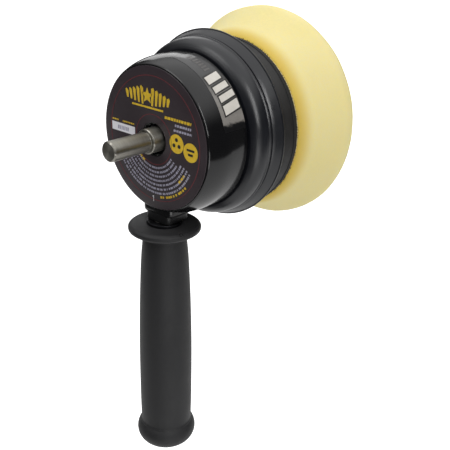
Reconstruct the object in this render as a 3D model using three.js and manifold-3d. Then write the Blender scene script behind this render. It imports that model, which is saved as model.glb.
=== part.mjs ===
// Dual action polisher head driven by a drill: shank, eccentric, orbiting pad and side handle.
// Millimetres, +Z up. The origin is the centre of the shank's end face and +Y runs along the
// drive axis to the foam pad. The side handle hangs along -Z.
import * as THREE from 'three';
import { mergeVertices } from 'three/addons/utils/BufferGeometryUtils.js';
import Module from 'manifold-3d';

const wasm = await Module();
wasm.setup();

// ---- driving dimensions -------------------------------------------------------------------

// drive shaft
const shankRadius = 4.79;
const shankChamfer = 0.6;
const shankStickOut = 27.5; // shank's end to the housing's rear face
const shankGrooveBack = 6.2; // groove's rear edge, ahead of the housing's face
const shankGrooveWidth = 0.9;
const shankGrooveDepth = 0.55;
const journalChamfer = 0.4;
const shaftEndChamfer = 0.5;
const decalGap = 0.02;
const journalRadius = 6;

// ball bearings: two on the shaft, one on the orbiting spindle
const shaftBearing = { bore: journalRadius, outer: 14, width: 8, ball: 2.38, balls: 8 };
const orbitBearing = { bore: 5, outer: 13, width: 8, ball: 2.38, balls: 7 };
const ballPlay = 0.3; // groove radius over ball radius
const raceShoulder = 1.4; // from the balls' centre circle to each race's shoulder
const cageHalfWidth = 1;
const cageStart = 0.55; // of a ball's radius, ahead of the balls' middle
const cageLap = 0.3; // cage's end ahead of the balls
const sealThickness = 0.5;
const sealGap = 0.06; // to the outer race
const sealOverlap = 0.2; // to the inner race
const sealInset = 0.3;
const spacerLength = 2;
const innerSpacerWall = 2;
const outerSpacerWall = 1.6; // also the ledge behind the rear bearing
const raceFit = 0.02;

// housing
const barrelRadius = 38.05;
const shoulderRise = 3.08; // barrel's radius over the rear face's
const rearFaceRadius = barrelRadius - shoulderRise;
const barrelLength = 22.8;
const shoulderLength = 13; // rounded rear shoulder of the barrel
const barrelWall = 2.5;
const rearWall = 3;
const shaftHoleRadius = 7.7;
const bearingLedge = 0.7;
const hubWall = 3;
const circlipThickness = 1;
const circlipDepth = 1.4;
const circlipBite = 0.6;
const circlipSlack = 0.1; // groove over the ring's thickness
const circlipFloor = 0.2; // groove's floor past the ring
const circlipGapAngle = 14; // half of the ring's gap, in degrees
const shaftClipRise = 1.2; // over the journal
const clipFit = 0.05;
const hubLip = 1.2;
const ribCount = 6;
const ribThickness = 2;
const ribHeight = 12;
const ribLap = 0.5; // rib's root inside the wall and hub
const ribInset = 1; // rib's end inside the rear face's radius
const wallCorner = 0.6;
const labelThickness = 0.25;
const labelMargin = 0.77; // rear face showing round the label
const labelRadius = rearFaceRadius - labelMargin;
const labelHoleRadius = 8.6;

// band decal on the barrel
const decalStart = 13.2; // from the rear face
const decalWidth = 9.2;
const decalFrom = 17; // degrees up from +X
const decalTo = 84;

// skirt round the orbiting plate
const skirtGap = 1.2; // shadow gap after the barrel
const skirtStep = 0.65; // skirt's band over the barrel
const skirtStartRadius = barrelRadius + skirtStep;
const skirtLength = 15.4;
const skirtLipRise = 8.1; // from the band's start
const skirtLipRadius = skirtStartRadius + skirtLipRise;
const skirtWall = 2;
const skirtBandOutline = [[1.9, 2.4], [3.6, 5.4]]; // rise and run from the band's start
const skirtGrooveRun = 9.2; // from the band's start to the groove
const skirtGrooveRise = 4.9;
const skirtGrooveRadius = skirtStartRadius + skirtGrooveRise;
const skirtGrooveShape = [[0.2, -0.6], [-0.5, 0], [0.4, 0.6]]; // from the groove's middle
const skirtInnerShape = [1.7, 5.6]; // rise and run of the band's inside
const skirtLipInset = [0.6, 1.5]; // inside of the lip, behind its edge
const skirtFlare = [6.5, 12.2]; // rise and run where the lip flares
const skirtLipBand = 0.8;
const sleeveWall = 1.8;
const sleeveClearance = 0.3;
const sleeveLength = 5.5;
const flangeThickness = 2;
const clampThickness = 1.5;
const screwCircleInset = 8.55; // inside the barrel's radius
const screwCircleRadius = barrelRadius - screwCircleInset;
const flangeMargin = 3.5; // flange's hole inside the screws' circle
const flangeInnerRadius = screwCircleRadius - flangeMargin;
const clampClearance = 0.4;
const screwEndGap = 0.5; // screw's tip to the floor of its hole
const screwCount = 6;
const screwRadius = 1.5;
const screwHeadRadius = 2.8;
const screwHeadHeight = 1.9;
const screwLength = 9;
const bossRadius = 3.4;
const screwClearance = 0.1;
const socketShare = { radius: 0.55, depth: 0.6 }; // of a screw's head

// eccentric head
const orbitOffset = 3; // orbit radius of the pad
const headNoseRadius = 8.5;
const headNoseGap = 1; // from the hub's end to the head's disc
const headRadius = 19;
const headWeb = 1;
const pocketSetBack = 7.5; // hub's end to the pocket's relief
const pocketRelief = 2.3;
const reliefRadius = 9.5;
const headLip = 1;
const headEdge = 0.6; // chamfer round the head
const setHoleStart = 2; // inside the journal, above its middle
const setScrewInset = 3; // set screw's top inside the head
const setScrewSocket = { radius: 1, depth: 2 };
const setScrewPoint = { share: 0.6, rise: 0.1, length: 1 };
const fitClearance = 0.03;
const keyWidth = 3;
const keyLength = 6;
const keyStandOut = 1.2; // above the journal
const keySetBack = 1; // rear end of the key inside the head's nose
const setScrewRadius = 2;

// counterweight opposite the eccentric
const weightOuterRadius = 29;
const weightLength = 12;
const weightSetBack = 2.5; // behind the head's front face
const weightSpan = 130; // degrees
const weightGap = 0.3;
const weightScrewRadius = 2;
const weightScrewSpread = 14;
const weightScrewEnd = 13; // distance of the screw holes' floor from the drive axis
const weightHeadRadius = 3.5;
const weightSocketRadius = 1.8;
const weightSocketDepth = 1.2;
const weightHeadHeight = 2.2;
const weightHeadSeat = 23.5; // distance of the screw heads' seat from the drive axis

// orbiting spindle and pad holder
const spindleCollarRadius = 6.6;
const spindleFlangeRadius = 10;
const spindleFlangeThickness = 1.5;
const flangeHeadGap = 0.8;
const snapRingThickness = 1;
const snapRingRadius = 6.3;
const plateScrewRadius = 3;
const plateThickness = 2.1;
const plateRimSetBack = 11; // front edge of the holder to the rear of its rim
const plateRimRearRadius = 40.1;
const plateEdgeRadius = 42.5;
const plateRimWidth = 3;
const plateRimSlope = 4; // inner side of the rim, over its height
const plateFit = 0.05;
const plateInset = 0.3; // holder's front edge inside the cushion's
const hookInset = 0.2;
const spindleChamfer = 0.4;
const spindleTail = 0.5; // past the snap ring
const spindleSetBack = 0.2; // spindle's end behind the holder's face
const plateScrewRoom = 2; // spindle's drilled hole ahead of the bearing's rear
const plateScrewGap = 1;
const cushionThickness = 1.8;
const hookThickness = 0.8;
const skirtPlateGap = 0.3; // skirt's lip to the holder's rim
const holderAccessRadius = 8.6;
const plateWasherRadius = 7.8;
const plateWasherThickness = 0.8;

// foam pad
const hookGap = 0.1;
const loopThickness = 1;
const loopRadius = 41.8;
const padBackRadius = 43.2;
const padBackEdge = 1;
const padFlare = [3.6, 8]; // rise and run behind the rim
const padRimRadius = 54.9;
const padRimRound = 8;
const padThickness = 34; // from the holder's face to the pad's front

// side handle
const handleY = 6.43; // handle axis, ahead of the rear face
const handleDrop = 5.85; // barrel to the handle's top
const handleTopZ = -barrelRadius - handleDrop;
const handleFlangeRadius = 18.15;
const handleFlangeThickness = 4.4;
const handleNeckRadius = 11;
const handleGripRadius = 13.8;
const handleBulgeRadius = 15.85;
const handleBulgeRound = 8;
const handleBulgeEnd = 46; // degrees round the bulge's arc
const handleWaist = [[13.19, 44.1], [12.17, 21.1]]; // radius and depth below the handle's top
const handleNeckDepth = 7.6;
const handleFlangeTopRim = 1.8;
const hexRadius = 6; // hexagon at the stud's lower end
const hexHeight = 5;
const handleLength = 131.1;
const handleEndZ = handleTopZ - handleLength;
const handleStraight = [30, 60]; // straight part of the grip, above its end
const handleFlangeShape = { neckRise: 0.6, neckDrop: 0.8, underSide: 2, underEdge: 1.4, topEdge: 1.6 };
const handleBulgeStep = [0.3, 7]; // grip where the bulge meets it: inset and rise
const handleCoreRadius = 7;
const handleCoreEndGap = 12;
const studRadius = 4;
const studRootLap = 0.5; // stud's rod inside its hexagon
const coreLift = 0.2; // core's end above the grip's bore
const studLength = 62;
const studAbove = 14.2; // stud standing out of the grip's top
const studClearance = 0.12;
const insertWall = 1.3;
const washerRadius = 9;
const washerThickness = 1.6;
const bossWidth = 16.4;
const bossLength = 15;
const bossStart = 0.8; // ahead of the rear face
const bossCorner = 3;
const bossTopZ = -27;
const footWidth = 20;
const footLead = 0.2; // foot's rear face behind the boss's
const insertSetBack = 1; // insert's end behind the boss's hole
const footSetBack = 0.5; // behind the skirt's sleeve
const footBottomZ = -barrelRadius - 0.35;

// a cut's run past the face that it opens
const overrun = 1;

// roundness of the turned pieces
const coarse = 40;
const medium = 24;
const fine = 20;
const tiny = 10;

// ---- places along the drive axis ----------------------------------------------------------

const faceY = shankStickOut;
const wallY = faceY + rearWall;
const rearBearingY = wallY + bearingLedge;
const spacerY = rearBearingY + shaftBearing.width;
const frontBearingY = spacerY + spacerLength;
const hubCirclipY = frontBearingY + shaftBearing.width;
const hubEndY = hubCirclipY + circlipThickness + hubLip;
const barrelEndY = faceY + barrelLength;
const skirtY = barrelEndY + skirtGap;
const skirtLipY = skirtY + skirtLength;
const sleeveY = skirtY - sleeveLength;
const headDiscY = hubEndY + headNoseGap;
const keyY = hubCirclipY + keySetBack;
const reliefY = hubEndY + pocketSetBack;
const shaftEndY = reliefY - headWeb;
const orbitBearingY = reliefY + pocketRelief;
const headCirclipY = orbitBearingY + orbitBearing.width;
const headEndY = headCirclipY + circlipThickness + headLip;
const holderDepth = plateThickness + cushionThickness + hookThickness;
// the holder sits clear of the head and of the skirt's lip, whichever reaches further
const plateY = Math.max(headEndY + flangeHeadGap + spindleFlangeThickness,
  skirtLipY + skirtPlateGap + plateRimSetBack - holderDepth);
const spindleFlangeY = plateY - spindleFlangeThickness;
const cushionY = plateY + plateThickness;
const hookY = cushionY + cushionThickness;
const holderFaceY = hookY + hookThickness;
const padFrontY = holderFaceY + padThickness;

const hubBore = shaftBearing.outer + fitClearance;
const hubRadius = hubBore + hubWall;
const pocketBore = orbitBearing.outer + fitClearance;
const sleeveRadius = barrelRadius - barrelWall - sleeveClearance;
const insertRadius = studRadius + studClearance + insertWall;
const bossBottomZ = handleTopZ + washerThickness;
const keyTopZ = -journalRadius - keyStandOut;
const keyBottomZ = keyTopZ + keyWidth;
const setScrewY = headDiscY + setScrewRadius + headEdge;
const weightY = headEndY - weightSetBack - weightLength;

// ---- finishes -----------------------------------------------------------------------------

const finish = (color, roughness, metalness) =>
  new THREE.MeshStandardMaterial({ color, roughness, metalness });
const groundSteel = finish('#a7a49d', 0.35, 1);
const bearingSteel = finish('#c2c2c2', 0.2, 1);
const blackSteel = finish('#2a2a2c', 0.45, 1);
const zincSteel = finish('#b3b1a8', 0.4, 1);
const castIron = finish('#5a5a5c', 0.7, 1);
const glossBlack = finish('#0e0e10', 0.15, 0);
const labelFilm = finish('#232126', 0.6, 0);
const silverFilm = finish('#8f8d89', 0.35, 0.4);
const blackRubber = finish('#202226', 0.55, 0);
const brownNylon = finish('#8b6b3c', 0.5, 0);
const plateResin = finish('#191a1c', 0.6, 0);
const hookNylon = finish('#101012', 0.9, 0);
const loopCloth = finish('#e9dcae', 0.95, 0);
const creamFoam = finish('#f0e6b4', 0.95, 0);
const gripRubber = finish('#2c2c2e', 0.75, 0);
const coreResin = finish('#1c1c1e', 0.5, 0);

// ---- solids -------------------------------------------------------------------------------

function solid(geometry) {
  const bare = geometry.clone();
  bare.deleteAttribute('normal');
  bare.deleteAttribute('uv');
  const merged = mergeVertices(bare, 1e-4);
  return new wasm.Manifold(new wasm.Mesh({
    numProp: 3,
    vertProperties: Float32Array.from(merged.attributes.position.array),
    triVerts: Uint32Array.from(merged.index.array),
  }));
}

function bufferOf(body) {
  const mesh = body.getMesh();
  const geometry = new THREE.BufferGeometry();
  geometry.setAttribute('position', new THREE.BufferAttribute(mesh.vertProperties, 3));
  geometry.setIndex(new THREE.BufferAttribute(mesh.triVerts, 1));
  geometry.computeVertexNormals();
  return geometry;
}

// profile of [radius, y] points, counter-clockwise, turned about the Y axis
function turnedGeometry(points, sides) {
  return new THREE.LatheGeometry(points.map(([r, y]) => new THREE.Vector2(r, y)), sides);
}

const turned = (points, sides) => solid(turnedGeometry(points, sides));

const ringProfile = (inner, outer, y0, y1) =>
  [[inner, y0], [outer, y0], [outer, y1], [inner, y1], [inner, y0]];
const rodProfile = (radius, y0, y1) => [[0, y0], [radius, y0], [radius, y1], [0, y1]];
const ring = (inner, outer, y0, y1, sides) => turned(ringProfile(inner, outer, y0, y1), sides);
const rod = (radius, y0, y1, sides) => turned(rodProfile(radius, y0, y1), sides);

// a rod or a turned profile stood along Z, its y values becoming z values
function turnedZ(points, sides) {
  return solid(turnedGeometry(points, sides).rotateX(Math.PI / 2));
}

function rodAcross(radius, x0, x1, y, z, sides) {
  const geometry = turnedGeometry(rodProfile(radius, x0, x1), sides).rotateZ(-Math.PI / 2);
  return solid(geometry.translate(0, y, z));
}

function block(x0, x1, y0, y1, z0, z1) {
  const geometry = new THREE.BoxGeometry(x1 - x0, y1 - y0, z1 - z0);
  return solid(geometry.translate((x0 + x1) / 2, (y0 + y1) / 2, (z0 + z1) / 2));
}

// upright block with rounded vertical corners
function roundedBlock(width, y0, y1, corner, z0, z1) {
  const half = width / 2;
  const outline = new THREE.Shape();
  outline.moveTo(-half + corner, y0);
  outline.absarc(half - corner, y0 + corner, corner, -Math.PI / 2, 0);
  outline.absarc(half - corner, y1 - corner, corner, 0, Math.PI / 2);
  outline.absarc(-half + corner, y1 - corner, corner, Math.PI / 2, Math.PI);
  outline.absarc(-half + corner, y0 + corner, corner, Math.PI, 1.5 * Math.PI);
  const settings = { depth: z1 - z0, bevelEnabled: false, curveSegments: 3 };
  return solid(new THREE.ExtrudeGeometry(outline, settings).translate(0, 0, z0));
}

// wedge about the Y axis between two angles measured from +X towards +Z, in degrees
function wedge(from, to, reach, y0, y1) {
  const outline = new THREE.Shape();
  outline.moveTo(0, 0);
  const steps = 8;
  for (let k = 0; k <= steps; k += 1) {
    const angle = THREE.MathUtils.degToRad(from + ((to - from) * k) / steps);
    outline.lineTo(reach * Math.cos(angle), reach * Math.sin(angle));
  }
  const prism = new THREE.ExtrudeGeometry(outline, { depth: y1 - y0, bevelEnabled: false });
  return solid(prism.rotateX(Math.PI / 2).translate(0, y1, 0));
}

// points of a circular arc in the (r, y) plane, angles in degrees
function arcPoints(centreR, centreY, radius, from, to, steps) {
  const points = [];
  for (let k = 0; k <= steps; k += 1) {
    const angle = THREE.MathUtils.degToRad(from + ((to - from) * k) / steps);
    points.push([centreR + radius * Math.cos(angle), centreY + radius * Math.sin(angle)]);
  }
  return points;
}

function mesh(name, body, material) {
  const piece = new THREE.Mesh(body instanceof THREE.BufferGeometry ? body : bufferOf(body), material);
  piece.name = name;
  return piece;
}

// ---- ball bearing: two races, a cage with its balls, and a seal ----------------------------

function bearing(name, size, y0, sealY) {
  const centre = (size.bore + size.outer) / 2;
  const middleY = y0 + size.width / 2;
  const groove = size.ball + ballPlay;
  const reach = THREE.MathUtils.radToDeg(Math.acos(raceShoulder / groove));
  const y1 = y0 + size.width;
  const inner = centre - raceShoulder;
  const outer = centre + raceShoulder;
  const bore = size.bore + raceFit;
  const innerRace = turned([
    [bore, y0], [inner, y0],
    ...arcPoints(centre, middleY, groove, 180 + reach, 180 - reach, 4),
    [inner, y1], [bore, y1], [bore, y0],
  ], fine);
  const outerRace = turned([
    [outer, y0], [size.outer, y0], [size.outer, y1], [outer, y1],
    ...arcPoints(centre, middleY, groove, reach, -reach, 4),
    [outer, y0],
  ], fine);
  // the cage is a crown on one side of the balls
  let cage = ring(centre - cageHalfWidth, centre + cageHalfWidth,
    middleY + size.ball * cageStart, middleY + size.ball + cageLap, fine);
  for (let k = 0; k < size.balls; k += 1) {
    const angle = (2 * Math.PI * k) / size.balls;
    const ball = new THREE.IcosahedronGeometry(size.ball, 1);
    cage = cage.add(solid(ball.translate(centre * Math.cos(angle), middleY, centre * Math.sin(angle))));
  }
  const seal = ring(inner + sealOverlap, outer - sealGap, sealY, sealY + sealThickness, fine);
  return {
    inner: mesh(`${name}_inner_race`, innerRace, bearingSteel),
    outer: mesh(`${name}_outer_race`, outerRace, bearingSteel),
    cage: mesh(`${name}_cage`, cage, brownNylon),
    seal: mesh(`${name}_seal`, seal, blackRubber),
  };
}

// socket head screw along +Y, its shank from y0 and its head ending at y0 + length + headHeight
function socketScrew(radius, y0, length, headRadius, headHeight) {
  const headY = y0 + length;
  const endY = headY + headHeight;
  const body = turned([
    [0, y0], [radius, y0], [radius, headY], [headRadius, headY], [headRadius, endY], [0, endY],
  ], tiny);
  return body.subtract(rod(headRadius * socketShare.radius, endY - headHeight * socketShare.depth,
    endY + overrun, 6));
}

// snap ring with a gap: turned ring less a wedge
function snapRing(inner, outer, y0, thickness, gapAngle) {
  const cut = wedge(gapAngle - circlipGapAngle, gapAngle + circlipGapAngle, outer * 2,
    y0 - overrun, y0 + thickness + overrun);
  return ring(inner, outer, y0, y0 + thickness, fine).subtract(cut);
}

// ---- barrel profile -----------------------------------------------------------------------

// the shoulder is an arc that ends tangent to the barrel
const shoulderRadius = (shoulderLength ** 2 + shoulderRise ** 2) / (2 * shoulderRise);
const shoulderAngle = THREE.MathUtils.radToDeg(Math.asin(shoulderLength / shoulderRadius));

function shoulderPoints(inset) {
  const centreR = barrelRadius - shoulderRadius;
  const centreY = faceY + shoulderLength;
  return arcPoints(centreR, centreY, shoulderRadius - inset, -shoulderAngle, 0, 4);
}

// ---- housing ------------------------------------------------------------------------------

function housingShell() {
  const innerR = barrelRadius - barrelWall;
  const inside = shoulderPoints(barrelWall).filter(([, y]) => y > wallY + ribLap).reverse();
  let shell = turned([
    [shaftHoleRadius, faceY],
    ...shoulderPoints(0),
    [barrelRadius, barrelEndY], [innerR, barrelEndY],
    ...inside,
    [inside[inside.length - 1][0] - wallCorner, wallY],
    [hubRadius, wallY], [hubRadius, hubEndY], [hubBore, hubEndY],
    [hubBore, hubCirclipY + circlipThickness + circlipSlack],
    [hubBore + circlipBite + circlipFloor, hubCirclipY + circlipThickness + circlipSlack],
    [hubBore + circlipBite + circlipFloor, hubCirclipY], [hubBore, hubCirclipY],
    [hubBore, rearBearingY], [hubBore - outerSpacerWall, rearBearingY], [hubBore - outerSpacerWall, wallY],
    [shaftHoleRadius, wallY], [shaftHoleRadius, faceY],
  ], coarse);
  const ribEndY = wallY + ribHeight;
  const bossEndY = sleeveY;
  for (let k = 0; k < ribCount; k += 1) {
    const angle = (360 * k) / ribCount;
    const rib = block(hubRadius - ribLap, rearFaceRadius - ribInset, wallY - ribLap, ribEndY,
      -ribThickness / 2, ribThickness / 2);
    const boss = rod(bossRadius, wallY - ribLap, bossEndY, tiny).translate([screwCircleRadius, 0, 0]);
    const hole = rod(screwRadius + screwClearance, bossEndY - screwLength, bossEndY + overrun,
      tiny);
    const foot = rib.add(boss).subtract(hole.translate([screwCircleRadius, 0, 0]));
    shell = shell.add(foot.rotate([0, -angle, 0]));
  }
  const bossY0 = faceY + bossStart;
  const boss = roundedBlock(bossWidth, bossY0, bossY0 + bossLength, bossCorner, bossBottomZ, bossTopZ);
  const foot = roundedBlock(footWidth, bossY0 - footLead, sleeveY - footSetBack, bossCorner, footBottomZ,
    bossTopZ);
  const insertHole = turnedZ(rodProfile(insertRadius + fitClearance, bossBottomZ - overrun,
    bossTopZ - insertSetBack), fine);
  return shell.add(boss).add(foot).subtract(insertHole.translate([0, faceY + handleY, 0]));
}

function rearLabel() {
  return ring(labelHoleRadius, labelRadius, faceY - labelThickness, faceY, coarse);
}

function barrelDecal() {
  const y0 = faceY + decalStart;
  const band = ring(barrelRadius + decalGap, barrelRadius + labelThickness, y0, y0 + decalWidth, coarse);
  return band.intersect(wedge(decalFrom, decalTo, barrelRadius * 2, y0 - overrun,
    y0 + decalWidth + overrun));
}

function skirtProfile() {
  const grooveY = skirtY + skirtGrooveRun;
  const grooveR = skirtGrooveRadius;
  const [flareRise, flareRun] = skirtFlare;
  const lipInner = skirtLipRadius - skirtWall;
  return [
    [flangeInnerRadius, sleeveY], [sleeveRadius, sleeveY], [sleeveRadius, skirtY],
    [skirtStartRadius, skirtY],
    ...skirtBandOutline.map(([rise, run]) => [skirtStartRadius + rise, skirtY + run]),
    ...skirtGrooveShape.map(([rise, run]) => [grooveR + rise, grooveY + run]),
    [skirtStartRadius + flareRise, skirtY + flareRun], [skirtLipRadius, skirtLipY - skirtLipBand],
    [skirtLipRadius, skirtLipY],
    [lipInner, skirtLipY], [lipInner - skirtLipInset[0], skirtLipY - skirtLipInset[1]],
    [grooveR - skirtWall, grooveY],
    [skirtStartRadius + skirtInnerShape[0], skirtY + skirtInnerShape[1]],
    [sleeveRadius - sleeveWall, skirtY + overrun], [sleeveRadius - sleeveWall, sleeveY + flangeThickness],
    [flangeInnerRadius, sleeveY + flangeThickness], [flangeInnerRadius, sleeveY],
  ];
}

function withScrewHoles(body, y0, y1) {
  let drilled = body;
  for (let k = 0; k < screwCount; k += 1) {
    const hole = rod(screwRadius + screwClearance, y0 - overrun, y1 + overrun, tiny);
    const placed = hole.translate([screwCircleRadius, 0, 0]);
    drilled = drilled.subtract(placed.rotate([0, (-360 * k) / screwCount, 0]));
  }
  return drilled;
}

function buildHousing(rear, front) {
  const group = new THREE.Group();
  const flangeY = sleeveY + flangeThickness;
  const clampY = flangeY + clampThickness;
  const clampOuter = sleeveRadius - sleeveWall - clampClearance;
  const clamp = ring(flangeInnerRadius, clampOuter, flangeY, clampY, coarse);
  group.add(
    mesh('housing_shell', housingShell(), glossBlack),
    mesh('rear_label', rearLabel(), labelFilm),
    mesh('barrel_label', barrelDecal(), silverFilm),
    mesh('skirt', withScrewHoles(turned(skirtProfile(), coarse), sleeveY, flangeY), blackRubber),
    mesh('skirt_clamp_ring', withScrewHoles(clamp, flangeY, clampY), zincSteel),
    rear.outer, rear.seal, front.outer, front.seal,
    mesh('outer_race_spacer', ring(hubBore - outerSpacerWall, hubBore - fitClearance, spacerY,
      frontBearingY, fine),
      zincSteel),
    mesh('hub_circlip', snapRing(hubBore - circlipDepth, hubBore + circlipBite, hubCirclipY,
      circlipThickness, 20), blackSteel),
    mesh('handle_insert', turnedZ(ringProfile(studRadius + studClearance, insertRadius,
      bossBottomZ, bossTopZ - insertSetBack), fine).translate([0, faceY + handleY, 0]), zincSteel),
  );
  for (let k = 0; k < screwCount; k += 1) {
    const screw = socketScrew(screwRadius, clampY - screwLength + screwEndGap, screwLength - screwEndGap,
      screwHeadRadius, screwHeadHeight).translate([screwCircleRadius, 0, 0]);
    group.add(mesh(`skirt_screw_${k + 1}`, screw.rotate([0, (-360 * k) / screwCount, 0]), blackSteel));
  }
  return group;
}

// ---- drive: shaft, eccentric head, counterweight --------------------------------------------

function driveShaft() {
  const grooveY = faceY - shankGrooveBack;
  const grooveEndY = grooveY + shankGrooveWidth;
  const grooveR = shankRadius - shankGrooveDepth;
  const clipY = rearBearingY - circlipThickness;
  const clipR = journalRadius - circlipBite;
  const shaft = turned([
    [0, 0], [shankRadius - shankChamfer, 0], [shankRadius, shankChamfer], [shankRadius, grooveY],
    [grooveR, grooveY], [grooveR, grooveEndY], [journalRadius - journalChamfer, grooveEndY],
    [journalRadius, grooveEndY + journalChamfer], [journalRadius, clipY],
    [clipR, clipY], [clipR, rearBearingY], [journalRadius, rearBearingY],
    [journalRadius, shaftEndY - shaftEndChamfer], [journalRadius - shaftEndChamfer, shaftEndY],
    [0, shaftEndY],
  ], fine);
  const half = keyWidth / 2 + fitClearance;
  const keyway = block(-half, half, keyY - 0.1, shaftEndY + overrun,
    -journalRadius - overrun, keyBottomZ);
  return shaft.subtract(keyway);
}

function eccentricHead() {
  let head = turned([
    [0, hubCirclipY], [headNoseRadius, hubCirclipY], [headNoseRadius, headDiscY],
    [headRadius - headEdge, headDiscY], [headRadius, headDiscY + headEdge],
    [headRadius, headEndY - headEdge], [headRadius - headEdge, headEndY], [0, headEndY],
  ], medium);
  const grooveEndY = headCirclipY + circlipThickness + circlipSlack;
  const pocket = turned([
    [0, reliefY], [reliefRadius, reliefY], [reliefRadius, orbitBearingY],
    [pocketBore, orbitBearingY], [pocketBore, headCirclipY],
    [pocketBore + circlipBite + circlipFloor, headCirclipY], [pocketBore + circlipBite + circlipFloor, grooveEndY],
    [pocketBore, grooveEndY], [pocketBore, headEndY + 1], [0, headEndY + 1],
  ], fine);
  const shaftBore = rod(journalRadius + fitClearance, hubCirclipY - 1, shaftEndY, fine);
  const half = keyWidth / 2 + fitClearance;
  const keyway = block(-half, half, hubCirclipY - 1, shaftEndY, keyTopZ - 0.1, 0);
  head = head.subtract(pocket.translate([orbitOffset, 0, 0])).subtract(shaftBore).subtract(keyway);
  const setHole = turnedZ(rodProfile(setScrewRadius + screwClearance, setHoleStart,
    headRadius + overrun), tiny);
  head = head.subtract(setHole.translate([0, setScrewY, 0]));
  for (const side of [-1, 1]) {
    head = head.subtract(rodAcross(weightScrewRadius + screwClearance, -headRadius - 1,
      -weightScrewEnd, weightY + weightLength / 2, (side * weightScrewSpread) / 2, tiny));
  }
  return head;
}

function counterweight() {
  const inner = headRadius + weightGap;
  const whole = ring(inner, weightOuterRadius, weightY, weightY + weightLength, medium);
  const sector = wedge(180 - weightSpan / 2, 180 + weightSpan / 2, weightOuterRadius * 3,
    weightY - overrun, weightY + weightLength + overrun);
  let weight = whole.intersect(sector);
  for (const side of [-1, 1]) {
    const z = (side * weightScrewSpread) / 2;
    weight = weight.subtract(rodAcross(weightScrewRadius + screwClearance, -weightOuterRadius - 1,
      -headRadius + 4, weightY + weightLength / 2, z, tiny));
    weight = weight.subtract(rodAcross(weightHeadRadius + screwClearance, -weightOuterRadius - 1,
      -weightHeadSeat, weightY + weightLength / 2, z, tiny));
  }
  return weight;
}

function weightScrew(side) {
  const y = weightY + weightLength / 2;
  const z = (side * weightScrewSpread) / 2;
  const tipGap = 0.4;
  const shank = rodAcross(weightScrewRadius, -weightHeadSeat, -weightScrewEnd - tipGap, y, z, tiny);
  const head = rodAcross(weightHeadRadius, -weightHeadSeat - weightHeadHeight, -weightHeadSeat, y, z, tiny);
  const socket = rodAcross(weightSocketRadius, -weightHeadSeat - weightHeadHeight - 1,
    -weightHeadSeat - weightHeadHeight + weightSocketDepth, y, z, 6);
  return shank.add(head).subtract(socket);
}

function shaftKey() {
  const half = keyWidth / 2;
  return block(-half, half, keyY, keyY + keyLength, keyTopZ, keyBottomZ - fitClearance);
}

function setScrew() {
  const pointZ = journalRadius + setScrewPoint.rise;
  const topZ = headRadius - setScrewInset;
  const body = turnedZ([
    [0, pointZ], [setScrewRadius * setScrewPoint.share, pointZ],
    [setScrewRadius, journalRadius + setScrewPoint.length], [setScrewRadius, topZ], [0, topZ],
  ], tiny);
  const socket = turnedZ(rodProfile(setScrewSocket.radius, topZ - setScrewSocket.depth, headRadius), 6);
  return body.subtract(socket).translate([0, setScrewY, 0]);
}

function buildDrive(rear, front, orbit) {
  const group = new THREE.Group();
  const clipY = rearBearingY - circlipThickness;
  orbit.outer.position.x = orbitOffset;
  orbit.seal.position.x = orbitOffset;
  const circlip = snapRing(pocketBore - circlipDepth, pocketBore + circlipBite, headCirclipY,
    circlipThickness, 200);
  group.add(
    mesh('drive_shaft', driveShaft(), groundSteel),
    mesh('shaft_circlip', snapRing(journalRadius - circlipBite + clipFit, journalRadius + shaftClipRise, clipY,
      circlipThickness, 100), blackSteel),
    rear.inner, front.inner,
    mesh('inner_race_spacer', ring(journalRadius + fitClearance, journalRadius + innerSpacerWall, spacerY,
      frontBearingY, fine), zincSteel),
    mesh('shaft_key', shaftKey(), zincSteel),
    mesh('eccentric_head', eccentricHead(), blackSteel),
    mesh('head_set_screw', setScrew(), blackSteel),
    mesh('counterweight', counterweight(), castIron),
    mesh('counterweight_screw_1', weightScrew(-1), blackSteel),
    mesh('counterweight_screw_2', weightScrew(1), blackSteel),
    orbit.outer, orbit.seal,
    mesh('head_circlip', circlip.translate([orbitOffset, 0, 0]), blackSteel),
  );
  return group;
}

// ---- orbiting spindle, pad holder and pad ---------------------------------------------------

function orbitSpindle() {
  const ringY = orbitBearingY - snapRingThickness;
  const ringR = orbitBearing.bore - circlipBite;
  const tailY = ringY - spindleTail;
  const spindle = turned([
    [0, tailY], [orbitBearing.bore - spindleChamfer, tailY], [orbitBearing.bore, tailY + spindleChamfer],
    [orbitBearing.bore, ringY], [ringR, ringY], [ringR, orbitBearingY],
    [orbitBearing.bore, orbitBearingY], [orbitBearing.bore, headCirclipY],
    [spindleCollarRadius, headCirclipY], [spindleCollarRadius, spindleFlangeY],
    [spindleFlangeRadius, spindleFlangeY], [spindleFlangeRadius, plateY],
    [orbitBearing.bore, plateY], [orbitBearing.bore, cushionY - spindleSetBack],
    [0, cushionY - spindleSetBack],
  ], fine);
  return spindle.subtract(rod(plateScrewRadius + screwClearance, orbitBearingY + plateScrewRoom,
    cushionY + overrun, tiny));
}

function backingPlate() {
  const rimRearY = holderFaceY - plateRimSetBack;
  const rimInner = plateRimRearRadius - plateRimWidth;
  const frontR = plateEdgeRadius - plateInset;
  return turned([
    [orbitBearing.bore + plateFit, plateY], [rimInner - plateRimSlope, plateY], [rimInner, rimRearY],
    [plateRimRearRadius, rimRearY], [frontR, cushionY], [orbitBearing.bore + plateFit, cushionY],
    [orbitBearing.bore + plateFit, plateY],
  ], coarse);
}

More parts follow.
